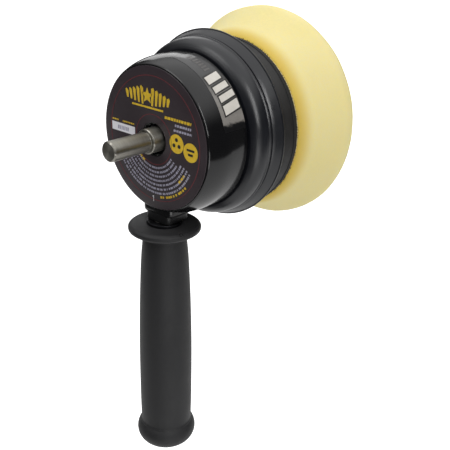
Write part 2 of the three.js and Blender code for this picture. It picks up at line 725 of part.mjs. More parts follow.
function buildOrbit(orbit) {
  const group = new THREE.Group();
  const washerY = cushionY + plateWasherThickness;
  const boltLength = washerY - orbitBearingY - plateScrewRoom - plateScrewGap;
  const snapY = orbitBearingY - snapRingThickness;
  group.add(
    mesh('orbit_spindle', orbitSpindle(), groundSteel),
    orbit.inner,
    mesh('spindle_snap_ring', snapRing(orbitBearing.bore - circlipBite + clipFit, snapRingRadius, snapY,
      snapRingThickness, 60), blackSteel),
    mesh('backing_plate', backingPlate(), plateResin),
    mesh('plate_cushion', ring(holderAccessRadius, plateEdgeRadius, cushionY, hookY, coarse), blackRubber),
    mesh('hook_disc', ring(holderAccessRadius, plateEdgeRadius - hookInset, hookY, holderFaceY, coarse),
      hookNylon),
    mesh('plate_washer', ring(plateScrewRadius + screwClearance, plateWasherRadius, cushionY, washerY,
      fine), zincSteel),
    mesh('plate_screw', socketScrew(plateScrewRadius, washerY - boltLength, boltLength, 5, 1.6),
      blackSteel),
  );
  group.position.x = orbitOffset;
  return group;
}

function foamPad() {
  const backY = holderFaceY + hookGap + loopThickness;
  const rimR = padRimRadius - padRimRound;
  const rimY = padFrontY - padRimRound;
  return turned([
    [0, backY], [padBackRadius - padBackEdge, backY], [padBackRadius, backY + padBackEdge],
    [padBackRadius + padFlare[0], backY + padFlare[1]],
    ...arcPoints(rimR, rimY, padRimRound, -28, 90, 7),
    [0, padFrontY],
  ], coarse);
}

function buildPad() {
  const group = new THREE.Group();
  const loopY = holderFaceY + hookGap;
  group.add(
    mesh('loop_disc', rod(loopRadius, loopY, loopY + loopThickness, coarse), loopCloth),
    mesh('foam_pad', foamPad(), creamFoam),
  );
  group.position.x = orbitOffset;
  return group;
}

// ---- side handle ----------------------------------------------------------------------------

function handleGrip() {
  const coreBore = handleCoreRadius + fitClearance;
  const boreEndZ = handleEndZ + handleCoreEndGap;
  const underZ = handleTopZ - handleFlangeThickness;
  const shape = handleFlangeShape;
  const bulgeZ = handleEndZ + handleBulgeRound;
  const bulgeR = handleBulgeRadius - handleBulgeRound;
  return turnedZ([
    [0, handleEndZ], ...arcPoints(bulgeR, bulgeZ, handleBulgeRound, -90, handleBulgeEnd, 7),
    [handleGripRadius - handleBulgeStep[0], bulgeZ + handleBulgeStep[1]],
    ...handleStraight.map((rise) => [handleGripRadius, handleEndZ + rise]),
    ...handleWaist.map(([radius, depth]) => [radius, handleTopZ - depth]),
    [handleNeckRadius, handleTopZ - handleNeckDepth],
    [handleNeckRadius + shape.neckRise, underZ - shape.neckDrop],
    [handleFlangeRadius - shape.underSide, underZ], [handleFlangeRadius, underZ + shape.underEdge],
    [handleFlangeRadius, handleTopZ - shape.topEdge],
    [handleFlangeRadius - handleFlangeTopRim, handleTopZ],
    [coreBore, handleTopZ], [coreBore, boreEndZ], [0, boreEndZ],
  ], medium);
}

function buildHandle() {
  const group = new THREE.Group();
  const coreEndZ = handleEndZ + handleCoreEndGap + coreLift;
  const studEndZ = handleTopZ + studAbove;
  const studRootZ = studEndZ - studLength;
  const core = turnedZ(rodProfile(handleCoreRadius, coreEndZ, handleTopZ), medium)
    .subtract(turnedZ(rodProfile(studRadius + fitClearance, studRootZ, handleTopZ + overrun),
      fine))
    .subtract(turnedZ(rodProfile(hexRadius + fitClearance, studRootZ - hexHeight, studRootZ + 0.001), 6));
  const stud = turnedZ(rodProfile(studRadius, studRootZ - studRootLap, studEndZ), fine)
    .add(turnedZ(rodProfile(hexRadius, studRootZ - hexHeight, studRootZ), 6));
  group.add(
    mesh('handle_grip', handleGrip(), gripRubber),
    mesh('handle_core', core, coreResin),
    mesh('handle_stud', stud, zincSteel),
    mesh('handle_washer', turnedZ(ringProfile(studRadius + studClearance, washerRadius, handleTopZ,
      bossBottomZ), fine), blackSteel),
  );
  group.position.y = faceY + handleY;
  return group;
}

// ---- assembly -------------------------------------------------------------------------------

const rearBearing = bearing('rear_bearing', shaftBearing, rearBearingY, rearBearingY + sealInset);
const frontBearing = bearing('front_bearing', shaftBearing, frontBearingY,
  hubCirclipY - sealInset - sealThickness);
const padBearing = bearing('spindle_bearing', orbitBearing, orbitBearingY,
  headCirclipY - sealInset - sealThickness);
padBearing.cage.position.x = orbitOffset;

const polisher = new THREE.Group();
polisher.add(
  buildDrive(rearBearing, frontBearing, padBearing),
  buildHousing(rearBearing, frontBearing),
  rearBearing.cage, frontBearing.cage, padBearing.cage,
  buildOrbit(padBearing),
  buildPad(),
  buildHandle(),
);

export default polisher;
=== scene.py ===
import math
import random

import bmesh
import bpy
from mathutils import Matrix, Vector, noise


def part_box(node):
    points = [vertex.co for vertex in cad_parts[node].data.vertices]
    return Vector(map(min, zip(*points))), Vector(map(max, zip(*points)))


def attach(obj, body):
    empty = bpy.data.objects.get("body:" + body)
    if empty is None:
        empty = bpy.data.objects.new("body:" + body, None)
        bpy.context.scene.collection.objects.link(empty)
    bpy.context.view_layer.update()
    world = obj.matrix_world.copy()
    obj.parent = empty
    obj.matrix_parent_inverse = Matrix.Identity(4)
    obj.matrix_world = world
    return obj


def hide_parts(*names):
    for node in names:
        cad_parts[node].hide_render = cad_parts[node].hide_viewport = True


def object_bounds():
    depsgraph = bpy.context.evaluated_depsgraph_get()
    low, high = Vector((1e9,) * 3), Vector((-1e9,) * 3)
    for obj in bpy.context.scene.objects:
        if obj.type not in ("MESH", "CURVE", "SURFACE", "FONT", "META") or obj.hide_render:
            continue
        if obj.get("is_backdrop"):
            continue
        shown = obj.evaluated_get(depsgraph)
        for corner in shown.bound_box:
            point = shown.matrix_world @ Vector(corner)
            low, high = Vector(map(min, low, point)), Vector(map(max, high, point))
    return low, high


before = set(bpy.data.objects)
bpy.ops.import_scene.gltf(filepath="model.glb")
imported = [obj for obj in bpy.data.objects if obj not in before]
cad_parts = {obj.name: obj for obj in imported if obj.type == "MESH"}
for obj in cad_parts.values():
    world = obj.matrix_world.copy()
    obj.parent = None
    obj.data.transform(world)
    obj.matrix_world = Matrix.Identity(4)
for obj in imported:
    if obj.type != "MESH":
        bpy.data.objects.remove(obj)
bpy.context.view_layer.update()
print("frame loaded:", len(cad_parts), "nodes")

scene = bpy.context.scene
mm = 0.001  # every outline below is in millimetres


# small helpers

def hexColor(code):
    channels = [int(code[k:k + 2], 16) / 255 for k in (1, 3, 5)]
    linear = [c / 12.92 if c <= 0.04045 else ((c + 0.055) / 1.055) ** 2.4 for c in channels]
    return (*linear, 1.0)


def addNode(tree, kind, inputs=(), **settings):
    node = tree.nodes.new(kind)
    for name, value in settings.items():
        setattr(node, name, value)
    for name, value in dict(inputs).items():
        if isinstance(value, bpy.types.NodeSocket):
            tree.links.new(value, node.inputs[name])
        else:
            node.inputs[name].default_value = value
    return node


def boxOf(node):
    low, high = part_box(node)
    return low / mm, high / mm


def roundCorners(corners, closed, steps=5):
    # a corner is (radius, along) or (radius, along, fillet)
    points = []
    last = len(corners) - 1
    for k, corner in enumerate(corners):
        here = Vector(corner[:2])
        fillet = corner[2] if len(corner) > 2 else 0
        if not fillet or (not closed and k in (0, last)):
            points.append(here)
            continue
        back = (Vector(corners[k - 1][:2]) - here).normalized()
        ahead = (Vector(corners[(k + 1) % len(corners)][:2]) - here).normalized()
        half = back.angle(ahead) / 2
        centre = here + (back + ahead).normalized() * fillet / math.sin(half)
        first = here + back * fillet / math.tan(half) - centre
        final = here + ahead * fillet / math.tan(half) - centre
        start = math.atan2(first.y, first.x)
        sweep = math.atan2(final.y, final.x) - start
        sweep = (sweep + math.pi) % (2 * math.pi) - math.pi
        for s in range(steps + 1):
            angle = start + sweep * s / steps
            points.append(centre + Vector((math.cos(angle), math.sin(angle))) * fillet)
    return points


def arcRun(centreR, centreY, radius, start, end, steps):
    angles = [math.radians(start + (end - start) * k / steps) for k in range(steps + 1)]
    return [(centreR + radius * math.cos(a), centreY + radius * math.sin(a)) for a in angles]


def smoothRun(points, perSpan=6):
    # a curve through all the points
    ends = [points[0], *points, points[-1]]
    run = []
    for k in range(len(points) - 1):
        a, b, c, d = (Vector(p) for p in ends[k:k + 4])
        for s in range(perSpan):
            t = s / perSpan
            run.append(0.5 * (2 * b + (c - a) * t + (2 * a - 5 * b + 4 * c - d) * t * t
                              + (3 * b - a - 3 * c + d) * t ** 3))
    run.append(Vector(points[-1]))
    return [tuple(p) for p in run]


def turnedBody(outline, sides, closed, along="Y", centre=(0, 0, 0)):
    body = bmesh.new()
    rings = []
    for radius, height in outline:
        ring = []
        for k in range(sides if radius > 1e-4 else 1):
            angle = 2 * math.pi * k / sides
            x, w = radius * math.cos(angle), radius * math.sin(angle)
            spot = Vector((x, height, w)) if along == "Y" else Vector((x, w, height))
            ring.append(body.verts.new((spot + Vector(centre)) * mm))
        rings.append(ring)
    pairs = list(zip(rings, rings[1:])) + ([(rings[-1], rings[0])] if closed else [])
    for lower, upper in pairs:
        for k in range(sides):
            j = (k + 1) % sides
            corners = [lower[k % len(lower)], lower[j % len(lower)],
                       upper[j % len(upper)], upper[k % len(upper)]]
            corners = list(dict.fromkeys(corners))
            if len(corners) > 2:
                body.faces.new(corners)
    bmesh.ops.recalc_face_normals(body, faces=body.faces)
    return body


def objectFrom(name, body):
    mesh = bpy.data.meshes.new(name)
    body.to_mesh(mesh)
    body.free()
    piece = bpy.data.objects.new(name, mesh)
    scene.collection.objects.link(piece)
    return piece


def turnedPiece(name, outline, closed, steps, sides, along="Y", centre=(0, 0, 0)):
    return objectFrom(name, turnedBody(roundCorners(outline, closed, steps), sides, closed, along, centre))


def bakeModifiers(piece):
    graph = bpy.context.evaluated_depsgraph_get()
    mesh = bpy.data.meshes.new_from_object(piece.evaluated_get(graph), depsgraph=graph)
    piece.modifiers.clear()
    piece.data = mesh


def combine(piece, tool, operation):
    step = piece.modifiers.new("cut", "BOOLEAN")
    step.object, step.operation, step.solver = tool, operation, "EXACT"
    bakeModifiers(piece)
    bpy.data.objects.remove(tool)


def finishPiece(piece, material, body, nodes=(), sharp=32):
    mesh = piece.data
    mesh.materials.clear()
    mesh.materials.append(material)
    mesh.shade_smooth()
    mesh.set_sharp_from_angle(angle=math.radians(sharp))
    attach(piece, body)
    if nodes:
        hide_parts(*nodes)
    return piece


def newGroup(name, sockets):
    group = bpy.data.node_groups.new(name, "GeometryNodeTree")
    group.interface.new_socket("Geometry", in_out="OUTPUT", socket_type="NodeSocketGeometry")
    for label, kind in sockets:
        group.interface.new_socket(label, in_out="INPUT", socket_type="NodeSocket" + kind)
    return group, addNode(group, "NodeGroupInput")


def closeGroup(group, entry, geometry):
    real = addNode(group, "GeometryNodeRealizeInstances", {0: geometry})
    painted = addNode(group, "GeometryNodeSetMaterial", {0: real.outputs[0],
        "Material": entry.outputs["Material"]})
    addNode(group, "NodeGroupOutput", {0: painted.outputs[0]})


def growPiece(name, group, values):
    piece = bpy.data.objects.new(name, bpy.data.meshes.new(name))
    scene.collection.objects.link(piece)
    step = piece.modifiers.new("grow", "NODES")
    step.node_group = group
    for socket in group.interface.items_tree:
        if socket.in_out == "INPUT":
            step[socket.identifier] = values[socket.name]
    bakeModifiers(piece)
    return piece


# finishes

def newFinish(name, color, roughness, metallic=0.0, extra=()):
    material = bpy.data.materials.new(name)
    material.use_nodes = True
    tree = material.node_tree
    shader = tree.nodes["Principled BSDF"]
    shader.inputs["Base Color"].default_value = hexColor(color)
    shader.inputs["Roughness"].default_value = roughness
    shader.inputs["Metallic"].default_value = metallic
    for socket, value in dict(extra).items():
        shader.inputs[socket].default_value = value
    return material, tree, shader


def blend(tree, factor, first, second):
    # a mix of two colours, each a code or a socket
    first, second = (hexColor(c) if isinstance(c, str) else c for c in (first, second))
    return addNode(tree, "ShaderNodeMix", {"Factor": factor, "A": first, "B": second},
                   data_type="RGBA").outputs["Result"]


def bumped(tree, shader, height, depth, strength=1.0):
    # relief of that depth in millimetres
    relief = addNode(tree, "ShaderNodeBump", {"Height": height, "Distance": depth * mm, "Strength": strength})
    tree.links.new(relief.outputs[0], shader.inputs["Normal"])


def mottled(tree, shader, colorA, colorB, patch, roughA, roughB):
    # colour and roughness drift over patches of that many millimetres
    spot = addNode(tree, "ShaderNodeTexCoord")
    cloud = addNode(tree, "ShaderNodeTexNoise", {"Vector": spot.outputs["Object"], "Scale": 1000 / patch,
        "Detail": 4.0, "Roughness": 0.6})
    tint = blend(tree, cloud.outputs["Fac"], colorA, colorB)
    rough = addNode(tree, "ShaderNodeMapRange", {"Value": cloud.outputs["Fac"], "From Min": 0.3,
        "From Max": 0.7, "To Min": roughA, "To Max": roughB})
    tree.links.new(tint, shader.inputs["Base Color"])
    tree.links.new(rough.outputs[0], shader.inputs["Roughness"])
    return spot


def grained(tree, shader, spot, size, depth, detail=3.0):
    # grains of that size and depth in millimetres
    grain = addNode(tree, "ShaderNodeTexNoise", {"Vector": spot.outputs["Object"], "Scale": 1000 / size,
        "Detail": detail})
    bumped(tree, shader, grain.outputs["Fac"], depth)


def surfaced(name, color, roughness, drift, grain=None, metallic=0.0, extra=()):
    # drift and grain are the last arguments of the two functions above
    material, tree, shader = newFinish(name, color, roughness, metallic, extra)
    spot = mottled(tree, shader, *drift)
    if grain:
        grained(tree, shader, spot, *grain)
    return material


# injection-moulded gloss ABS: deep black, a clear reflection with a trace of waviness and dust
glossAbs = surfaced("glossAbsMoulded", "#0c0c0e", 0.12, ("#0b0b0d", "#141415", 26, 0.09, 0.2), (9, 0.02, 1.0),
                    extra={"IOR": 1.5})

# printed polyester film: dark brown-grey, satin
labelFilm = surfaced("polyesterLabelSatin", "#322a2e", 0.42, ("#2e262a", "#3a3136", 18, 0.36, 0.48),
                     (0.9, 0.01), extra={"IOR": 1.55})

# opaque screen ink, slightly uneven
goldInk = surfaced("goldPrintInk", "#e6c030", 0.45, ("#f2cf3a", "#cda526", 2.2, 0.4, 0.55))
greyInk = surfaced("greyPrintInk", "#a9a7b8", 0.5, ("#bdbbc8", "#8d8aa0", 1.6, 0.45, 0.6))
redInk = surfaced("redPrintInk", "#7a2f33", 0.5, ("#8a3438", "#5f2a30", 3.0, 0.45, 0.6))
smokeInk = surfaced("smokePrintInk", "#5b5856", 0.4, ("#64615f", "#454241", 2.0, 0.35, 0.5))
creamInk = surfaced("creamPrintInk", "#d8d4cc", 0.35, ("#dedad2", "#c6c1b8", 4.0, 0.3, 0.45))
whiteInk = surfaced("whitePrintInk", "#dcdbe0", 0.45, ("#f2f1f5", "#e2e1e8", 2.5, 0.4, 0.55))
darkInk = surfaced("darkPrintInk", "#1d1b1a", 0.5, ("#1a1817", "#2a2826", 1.5, 0.45, 0.6))

# metallised film: brushed-looking silver that fades into clear black
bandFilm, tree, shader = newFinish("metallisedFilm", "#8e8a85", 0.3,
                                   extra={"Coat Weight": 0.5, "Coat Roughness": 0.08})
sheet = addNode(tree, "ShaderNodeUVMap", uv_map="film")
spread = addNode(tree, "ShaderNodeSeparateXYZ", {0: sheet.outputs[0]})
streaks = addNode(tree, "ShaderNodeMapping", {"Vector": sheet.outputs[0], "Scale": (26, 5, 1)})
torn = addNode(tree, "ShaderNodeTexNoise", {"Vector": streaks.outputs[0], "Scale": 1.0, "Detail": 5.0,
    "Roughness": 0.7})
shifted = addNode(tree, "ShaderNodeMath", {0: torn.outputs["Fac"], 1: 0.11}, operation="MULTIPLY")
sweep = addNode(tree, "ShaderNodeMath", {0: spread.outputs[0], 1: shifted.outputs[0]}, operation="SUBTRACT")
fade = addNode(tree, "ShaderNodeValToRGB", {0: sweep.outputs[0]})
fade.color_ramp.elements[0].position, fade.color_ramp.elements[0].color = 0.0, (0, 0, 0, 1)
fade.color_ramp.elements[1].position, fade.color_ramp.elements[1].color = 0.03, (1, 1, 1, 1)
for place, level in ((0.3, 0.85), (0.47, 0.1), (0.55, 0.0)):
    stop = fade.color_ramp.elements.new(place)
    stop.color = (level, level, level, 1)
silver = blend(tree, torn.outputs["Fac"], "#6f6b66", "#97938e")
film = blend(tree, fade.outputs[0], "#0c0c0e", silver)
tree.links.new(film, shader.inputs["Base Color"])

# moulded nitrile rubber: charcoal, satin, broad soft highlight
skirtRubber = surfaced("nitrileRubberSatin", "#1a1b20", 0.32, ("#0f1014", "#17191f", 12, 0.26, 0.36),
                       (0.7, 0.012), extra={"IOR": 1.55})

# glass-filled nylon: dark, speckled by fibres at the surface
plateNylon = surfaced("glassFilledNylon", "#131212", 0.5, ("#100f0f", "#1b1917", 5, 0.44, 0.6),
                      (0.8, 0.06, 5.0), extra={"IOR": 1.53})

# microcellular rubber
cushionRubber = surfaced("cushionRubberMatt", "#101011", 0.7, ("#0e0e0f", "#171718", 4, 0.62, 0.78),
                         (0.5, 0.04, 5.0))

hookNylon, tree, shader = newFinish("hookTapeNylon", "#0d0d0e", 0.6)  # woven tape with cut hooks
spot = mottled(tree, shader, "#0a0a0b", "#1b1b1c", 2.0, 0.5, 0.7)
weave = addNode(tree, "ShaderNodeTexVoronoi", {"Vector": spot.outputs["Object"], "Scale": 1000 / 1.4})
bumped(tree, shader, weave.outputs["Distance"], 0.3)

# knitted loops
loopCloth = surfaced("brushedLoopCloth", "#d9cb95", 0.95, ("#c9ba80", "#e8dcae", 1.2, 0.9, 1.0),
                     (0.6, 0.25, 6.0), extra={"Sheen Weight": 0.3})

# open-cell polyurethane foam: cream, pores about a millimetre across, light passes a little way in
creamFoam, tree, shader = newFinish("openCellFoam", "#f0e6ac", 0.95, extra={
    "IOR": 1.45, "Subsurface Weight": 0.35, "Subsurface Scale": 0.004, "Specular IOR Level": 0.25})
shader.inputs["Subsurface Radius"].default_value = (1.0, 0.8, 0.35)
spot = addNode(tree, "ShaderNodeTexCoord")
pores = addNode(tree, "ShaderNodeTexVoronoi", {"Vector": spot.outputs["Object"], "Scale": 1000 / 1.1,
    "Smoothness": 0.5}, feature="SMOOTH_F1")
walls = addNode(tree, "ShaderNodeTexNoise", {"Vector": spot.outputs["Object"], "Scale": 1000 / 0.8,
    "Detail": 4.0, "Roughness": 0.65})
drift = addNode(tree, "ShaderNodeTexNoise", {"Vector": spot.outputs["Object"], "Scale": 1000 / 22,
    "Detail": 3.0})
cells = addNode(tree, "ShaderNodeMath", {0: pores.outputs["Distance"], 1: walls.outputs["Fac"]},
                operation="MULTIPLY")
poreEdge = addNode(tree, "ShaderNodeMapRange", {"Value": cells.outputs[0], "From Min": 0.08, "From Max": 0.42})
skin = blend(tree, poreEdge.outputs[0], "#f0e2a0", blend(tree, drift.outputs["Fac"], "#f1e7b7", "#eadb92"))
# painted shade and interreflection: the foam's colour turns darker and deeper yellow near the holder plate
along = addNode(tree, "ShaderNodeSeparateXYZ", {0: spot.outputs["Object"]})
nearPlate = addNode(tree, "ShaderNodeMapRange", {"Value": along.outputs[1],
    "From Min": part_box("foam_pad")[0].y, "From Max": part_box("foam_pad")[0].y + 8 * mm},
    interpolation_type="SMOOTHSTEP")
paintedPlateShade = blend(tree, nearPlate.outputs[0], "#dcbf5e", skin)  # painted shade: darker, deeper yellow within 8 mm of the holder plate
tree.links.new(paintedPlateShade, shader.inputs["Base Color"])
bumped(tree, shader, cells.outputs[0], 0.22, 0.42)

# soft-touch thermoplastic rubber from a spark-eroded mould: even charcoal, fine grain
gripRubber = surfaced("softTouchRubber", "#161618", 0.62, ("#141416", "#19191b", 16, 0.56, 0.68),
                      (0.45, 0.03, 4.0), extra={"IOR": 1.5, "Sheen Weight": 0.06})

# the barrel's own ABS, unpolished
bossResin = surfaced("bossResinSatin", "#121213", 0.38, ("#101011", "#19191a", 8, 0.32, 0.46), (0.8, 0.02),
                     extra={"IOR": 1.5})

# turned and ground steel: fine rings round the axis
groundSteel, tree, shader = newFinish("groundSteel", "#9c9a92", 0.36, 1.0,
                                      extra={"Anisotropic": 0.85, "Anisotropic Rotation": 0.25})
turned = addNode(tree, "ShaderNodeTangent", direction_type="RADIAL", axis="Y")
tree.links.new(turned.outputs[0], shader.inputs["Tangent"])
spot = addNode(tree, "ShaderNodeTexCoord")
rings = addNode(tree, "ShaderNodeMapping", {"Vector": spot.outputs["Object"], "Scale": (160, 5200, 160)})
lines = addNode(tree, "ShaderNodeTexNoise", {"Vector": rings.outputs[0], "Scale": 1.0, "Detail": 3.0})
tint = blend(tree, lines.outputs["Fac"], "#7f7c74", "#b4b2a9")
rough = addNode(tree, "ShaderNodeMapRange", {"Value": lines.outputs["Fac"], "To Min": 0.3, "To Max": 0.42})
bumped(tree, shader, lines.outputs["Fac"], 0.02, 0.6)
tree.links.new(tint, shader.inputs["Base Color"])
tree.links.new(rough.outputs[0], shader.inputs["Roughness"])

# hardened and polished
bearingSteel = surfaced("bearingSteel", "#c4c4c2", 0.16, ("#c9c9c7", "#b4b4b2", 6, 0.12, 0.24), metallic=1.0)
# bright zinc with a cloudy bloom
zincSteel = surfaced("zincPlatedSteel", "#b6b4aa", 0.36, ("#bdbbb2", "#a3a096", 3, 0.28, 0.46), (1.2, 0.01),
                     metallic=1.0)
# oiled black oxide
blackSteel = surfaced("blackOxideSteel", "#2b2b2e", 0.42, ("#242427", "#3a3a3d", 3, 0.36, 0.54), (0.6, 0.015),
                      metallic=1.0)
# sand-cast grain
castIron = surfaced("sandCastIron", "#4c4c4e", 0.62, ("#434345", "#5b5a5a", 4, 0.55, 0.75), (1.0, 0.12, 5.0),
                    metallic=0.8)
# natural brown nylon
cageNylon = surfaced("heatStabilisedNylon", "#86683c", 0.45, ("#8d6e40", "#785b33", 3, 0.4, 0.55))
# nitrile lip seal
sealRubber = surfaced("sealRubber", "#151517", 0.6, ("#121214", "#1d1d1f", 3, 0.52, 0.68), (0.4, 0.01))
# rigid nylon under the grip
coreResin = surfaced("coreResin", "#171718", 0.5, ("#141415", "#202021", 5, 0.44, 0.58), (0.6, 0.02))
print("finishes made:", len(bpy.data.materials))

# housing

labelLow, labelHigh = boxOf("rear_label")
faceY = labelHigh.y
barrel = {
    "faceRadius": 34.97, "radius": 38.05, "length": 22.8, "shoulder": 13.0, "wall": 2.5,
    "rearWall": 3.0, "shaftHole": 7.7, "hubBore": 14.03, "hubRadius": 17.03, "hubEnd": 51.4,
    "bearingSeat": 31.2, "circlipY": 49.2, "grooveDepth": 0.8, "grooveWidth": 1.1, "ledge": 1.6,
    "faceEdge": 1.3, "sides": 176,
}
barrelEndY = faceY + barrel["length"]
shoulderRise = barrel["radius"] - barrel["faceRadius"]
shoulderRadius = (barrel["shoulder"] ** 2 + shoulderRise ** 2) / (2 * shoulderRise)
shoulderStart = -math.degrees(math.asin(barrel["shoulder"] / shoulderRadius))


def barrelRadiusAt(run):
    # outside radius that far ahead of the rear face
    behind = max(0.0, barrel["shoulder"] - run)
    return barrel["radius"] - shoulderRadius + math.sqrt(shoulderRadius ** 2 - behind ** 2)


def shellOutline():
    b = barrel
    wallY = faceY + b["rearWall"]
    ledge, groove = b["hubBore"] - b["ledge"], b["hubBore"] + b["grooveDepth"]
    grooveEnd = b["circlipY"] + b["grooveWidth"]
    shoulder = arcRun(b["radius"] - shoulderRadius, faceY + b["shoulder"], shoulderRadius, shoulderStart, 0, 14)
    inside = arcRun(b["radius"] - shoulderRadius, faceY + b["shoulder"], shoulderRadius - b["wall"], 0,
                    shoulderStart * 0.66, 8)
    corners = [(b["shaftHole"], faceY, 0.4), (*shoulder[0], b["faceEdge"]), *shoulder[1:],
               (b["radius"], barrelEndY, 0.45), (b["radius"] - b["wall"], barrelEndY, 0.3), *inside,
               (inside[-1][0] - 1.0, wallY), (b["hubRadius"], wallY, 0.8), (b["hubRadius"], b["hubEnd"], 0.3),
               (b["hubBore"], b["hubEnd"], 0.3), (b["hubBore"], grooveEnd), (groove, grooveEnd),
               (groove, b["circlipY"]),
               (b["hubBore"], b["circlipY"]), (b["hubBore"], b["bearingSeat"]),
               (ledge, b["bearingSeat"]), (ledge, wallY), (b["shaftHole"], wallY, 0.3)]
    return roundCorners(corners, True)


def softBlock(name, width, y0, y1, z0, z1, corner, edge, steps=6):
    # upright block with rounded corners and a softened lower edge
    half = width / 2
    outline = roundCorners([(-half, y0, corner), (half, y0, corner), (half, y1, corner), (-half, y1, corner)],
                           True, steps)
    body = bmesh.new()
    layers = []
    for inset, z in [(edge * (1 - math.sin(a)), z0 + edge * (1 - math.cos(a)))
                     for a in (0, math.pi / 8, math.pi / 4, 3 * math.pi / 8, math.pi / 2)] + [(0, z1)]:
        scaleX, scaleY = (half - inset) / half, ((y1 - y0) / 2 - inset) / ((y1 - y0) / 2)
        middle = (y0 + y1) / 2
        layers.append([body.verts.new(Vector((p.x * scaleX, middle + (p.y - middle) * scaleY, z)) * mm)
                       for p in outline])
    for lower, upper in zip(layers, layers[1:]):
        for k in range(len(lower)):
            j = (k + 1) % len(lower)
            body.faces.new((lower[k], lower[j], upper[j], upper[k]))
    body.faces.new(layers[0])
    body.faces.new(layers[-1])
    bmesh.ops.recalc_face_normals(body, faces=body.faces)
    return objectFrom(name, body)


handle = {
    "axisY": 33.93, "insertHole": 5.45, "bossWidth": 16.4, "bossLength": 15.0, "bossStart": 28.3,
    "footWidth": 20.0, "footStart": 28.1, "footEnd": 45.5, "footBottom": -38.4, "rise": -27.0, "corner": 3.0,
    "footEdge": 1.6, "bossEdge": 0.8,
}
washerLow, washerHigh = boxOf("handle_washer")
bossBottom = washerHigh.z
shell = objectFrom("housing", turnedBody(shellOutline(), barrel["sides"], True))
h = handle
combine(shell, softBlock("foot", h["footWidth"], h["footStart"], h["footEnd"], h["footBottom"], h["rise"],
                         h["corner"], h["footEdge"]), "UNION")
combine(shell, softBlock("boss", h["bossWidth"], h["bossStart"], h["bossStart"] + h["bossLength"], bossBottom,
                         h["rise"], h["corner"], h["bossEdge"]), "UNION")
inner = {"ribs": 6, "ribThickness": 2.0, "ribEnd": 42.5, "bossRadius": 3.4, "circle": 29.5, "bossEnd": 46.0,
         "holeRadius": 1.6, "holeDepth": 9.0, "lap": 0.5}
innerY = faceY + barrel["rearWall"] - inner["lap"]


def screwPlaceBody(name, radius, fromY, toY, turn):
    # round body where a skirt screw stands
    body = turnedBody([(0, fromY), (radius, fromY), (radius, toY), (0, toY)], 24, False,
                      centre=(inner["circle"], 0, 0))
    bmesh.ops.rotate(body, verts=body.verts, cent=(0, 0, 0), matrix=Matrix.Rotation(-turn, 3, "Y"))
    return objectFrom(name, body)


def ribBody(turn):
    body = bmesh.new()
    bmesh.ops.create_cube(body, size=1.0)
    start = barrel["hubRadius"] - inner["lap"]
    end = inner["circle"] - inner["bossRadius"] + inner["lap"] + 0.1
    bmesh.ops.scale(body, vec=Vector((end - start, inner["ribEnd"] - innerY, inner["ribThickness"])) * mm,
                    verts=body.verts)
    bmesh.ops.translate(body, vec=Vector(((start + end) / 2, (inner["ribEnd"] + innerY) / 2, 0)) * mm,
                        verts=body.verts)
    bmesh.ops.rotate(body, verts=body.verts, cent=(0, 0, 0), matrix=Matrix.Rotation(-turn, 3, "Y"))
    return objectFrom("rib", body)


for k in range(inner["ribs"]):
    turn = math.tau * k / inner["ribs"]
    combine(shell, screwPlaceBody("column", inner["bossRadius"], innerY, inner["bossEnd"], turn), "UNION")
    combine(shell, ribBody(turn), "UNION")
    combine(shell, screwPlaceBody("bore", inner["holeRadius"], inner["bossEnd"] - inner["holeDepth"],
        inner["bossEnd"] + 1, turn), "DIFFERENCE")
hole = turnedBody([(0, bossBottom - 1), (h["insertHole"], bossBottom - 1), (h["insertHole"], h["rise"] - 1),
                   (0, h["rise"] - 1)], 48, False, "Z", (0, h["axisY"], 0))
combine(shell, objectFrom("hole", hole), "DIFFERENCE")
finishPiece(shell, glossAbs, "housing", ["housing_shell"])
shell.data.materials.append(bossResin)
for face in shell.data.polygons:
    at = face.center / mm
    if at.z < h["rise"] and abs(at.x) < h["footWidth"] and math.hypot(at.x, at.z) > barrel["radius"] + 0.01:
        face.material_index = 1  # the handle's boss keeps its mould's satin
print("housing made:", len(shell.data.polygons), "faces")

# rear label and its print

label = {"radius": 34.2, "hole": 8.15, "thickness": 0.25, "ringRadii": (29.9, 12.0), "ringWidth": 0.26,
         "ink": 0.05}
printY = faceY - label["thickness"]
edge = [(label["hole"], faceY), (label["hole"], printY, 0.1), (label["radius"], printY, 0.12),
        (label["radius"], faceY)]
disc = turnedBody(roundCorners(edge, True, 3), barrel["sides"], True)
finishPiece(objectFrom("rearLabel", disc), labelFilm, "housing", ["rear_label"])


def printed(name, shapes, ink, lift=0):
    # flat shapes of (x, z) corners, a film of ink thick, on the label's outside
    body = bmesh.new()
    outerY = printY - label["ink"] * (1 + lift)
    for shape in shapes:
        faces = []
        for y in (printY - label["ink"] * lift, outerY):
            faces.append([body.verts.new(Vector((x, y, z)) * mm) for x, z in shape])
        body.faces.new(faces[0])
        body.faces.new(faces[1])
        for k in range(len(shape)):
            j = (k + 1) % len(shape)
            body.faces.new((faces[0][k], faces[0][j], faces[1][j], faces[1][k]))
    bmesh.ops.recalc_face_normals(body, faces=body.faces)
    return finishPiece(objectFrom(name, body), ink, "housing", sharp=20)


def bar(x, z, width, height, slant=0.0):
    return [(x, z), (x + width, z), (x + width + slant, z + height), (x + slant, z + height)]


def roundSpot(x, z, radius, count=28, start=0.0):
    angles = [start + math.tau * k / count for k in range(count)]
    return [(x + radius * math.cos(a), z + radius * math.sin(a)) for a in angles]


def star(x, z, outer, inner, count=5):
    corners = []
    for k in range(2 * count):
        reach = outer if k % 2 == 0 else inner
        angle = math.pi / 2 + math.pi * k / count
        corners.append((x + reach * math.cos(angle), z + reach * math.sin(angle)))
    return corners


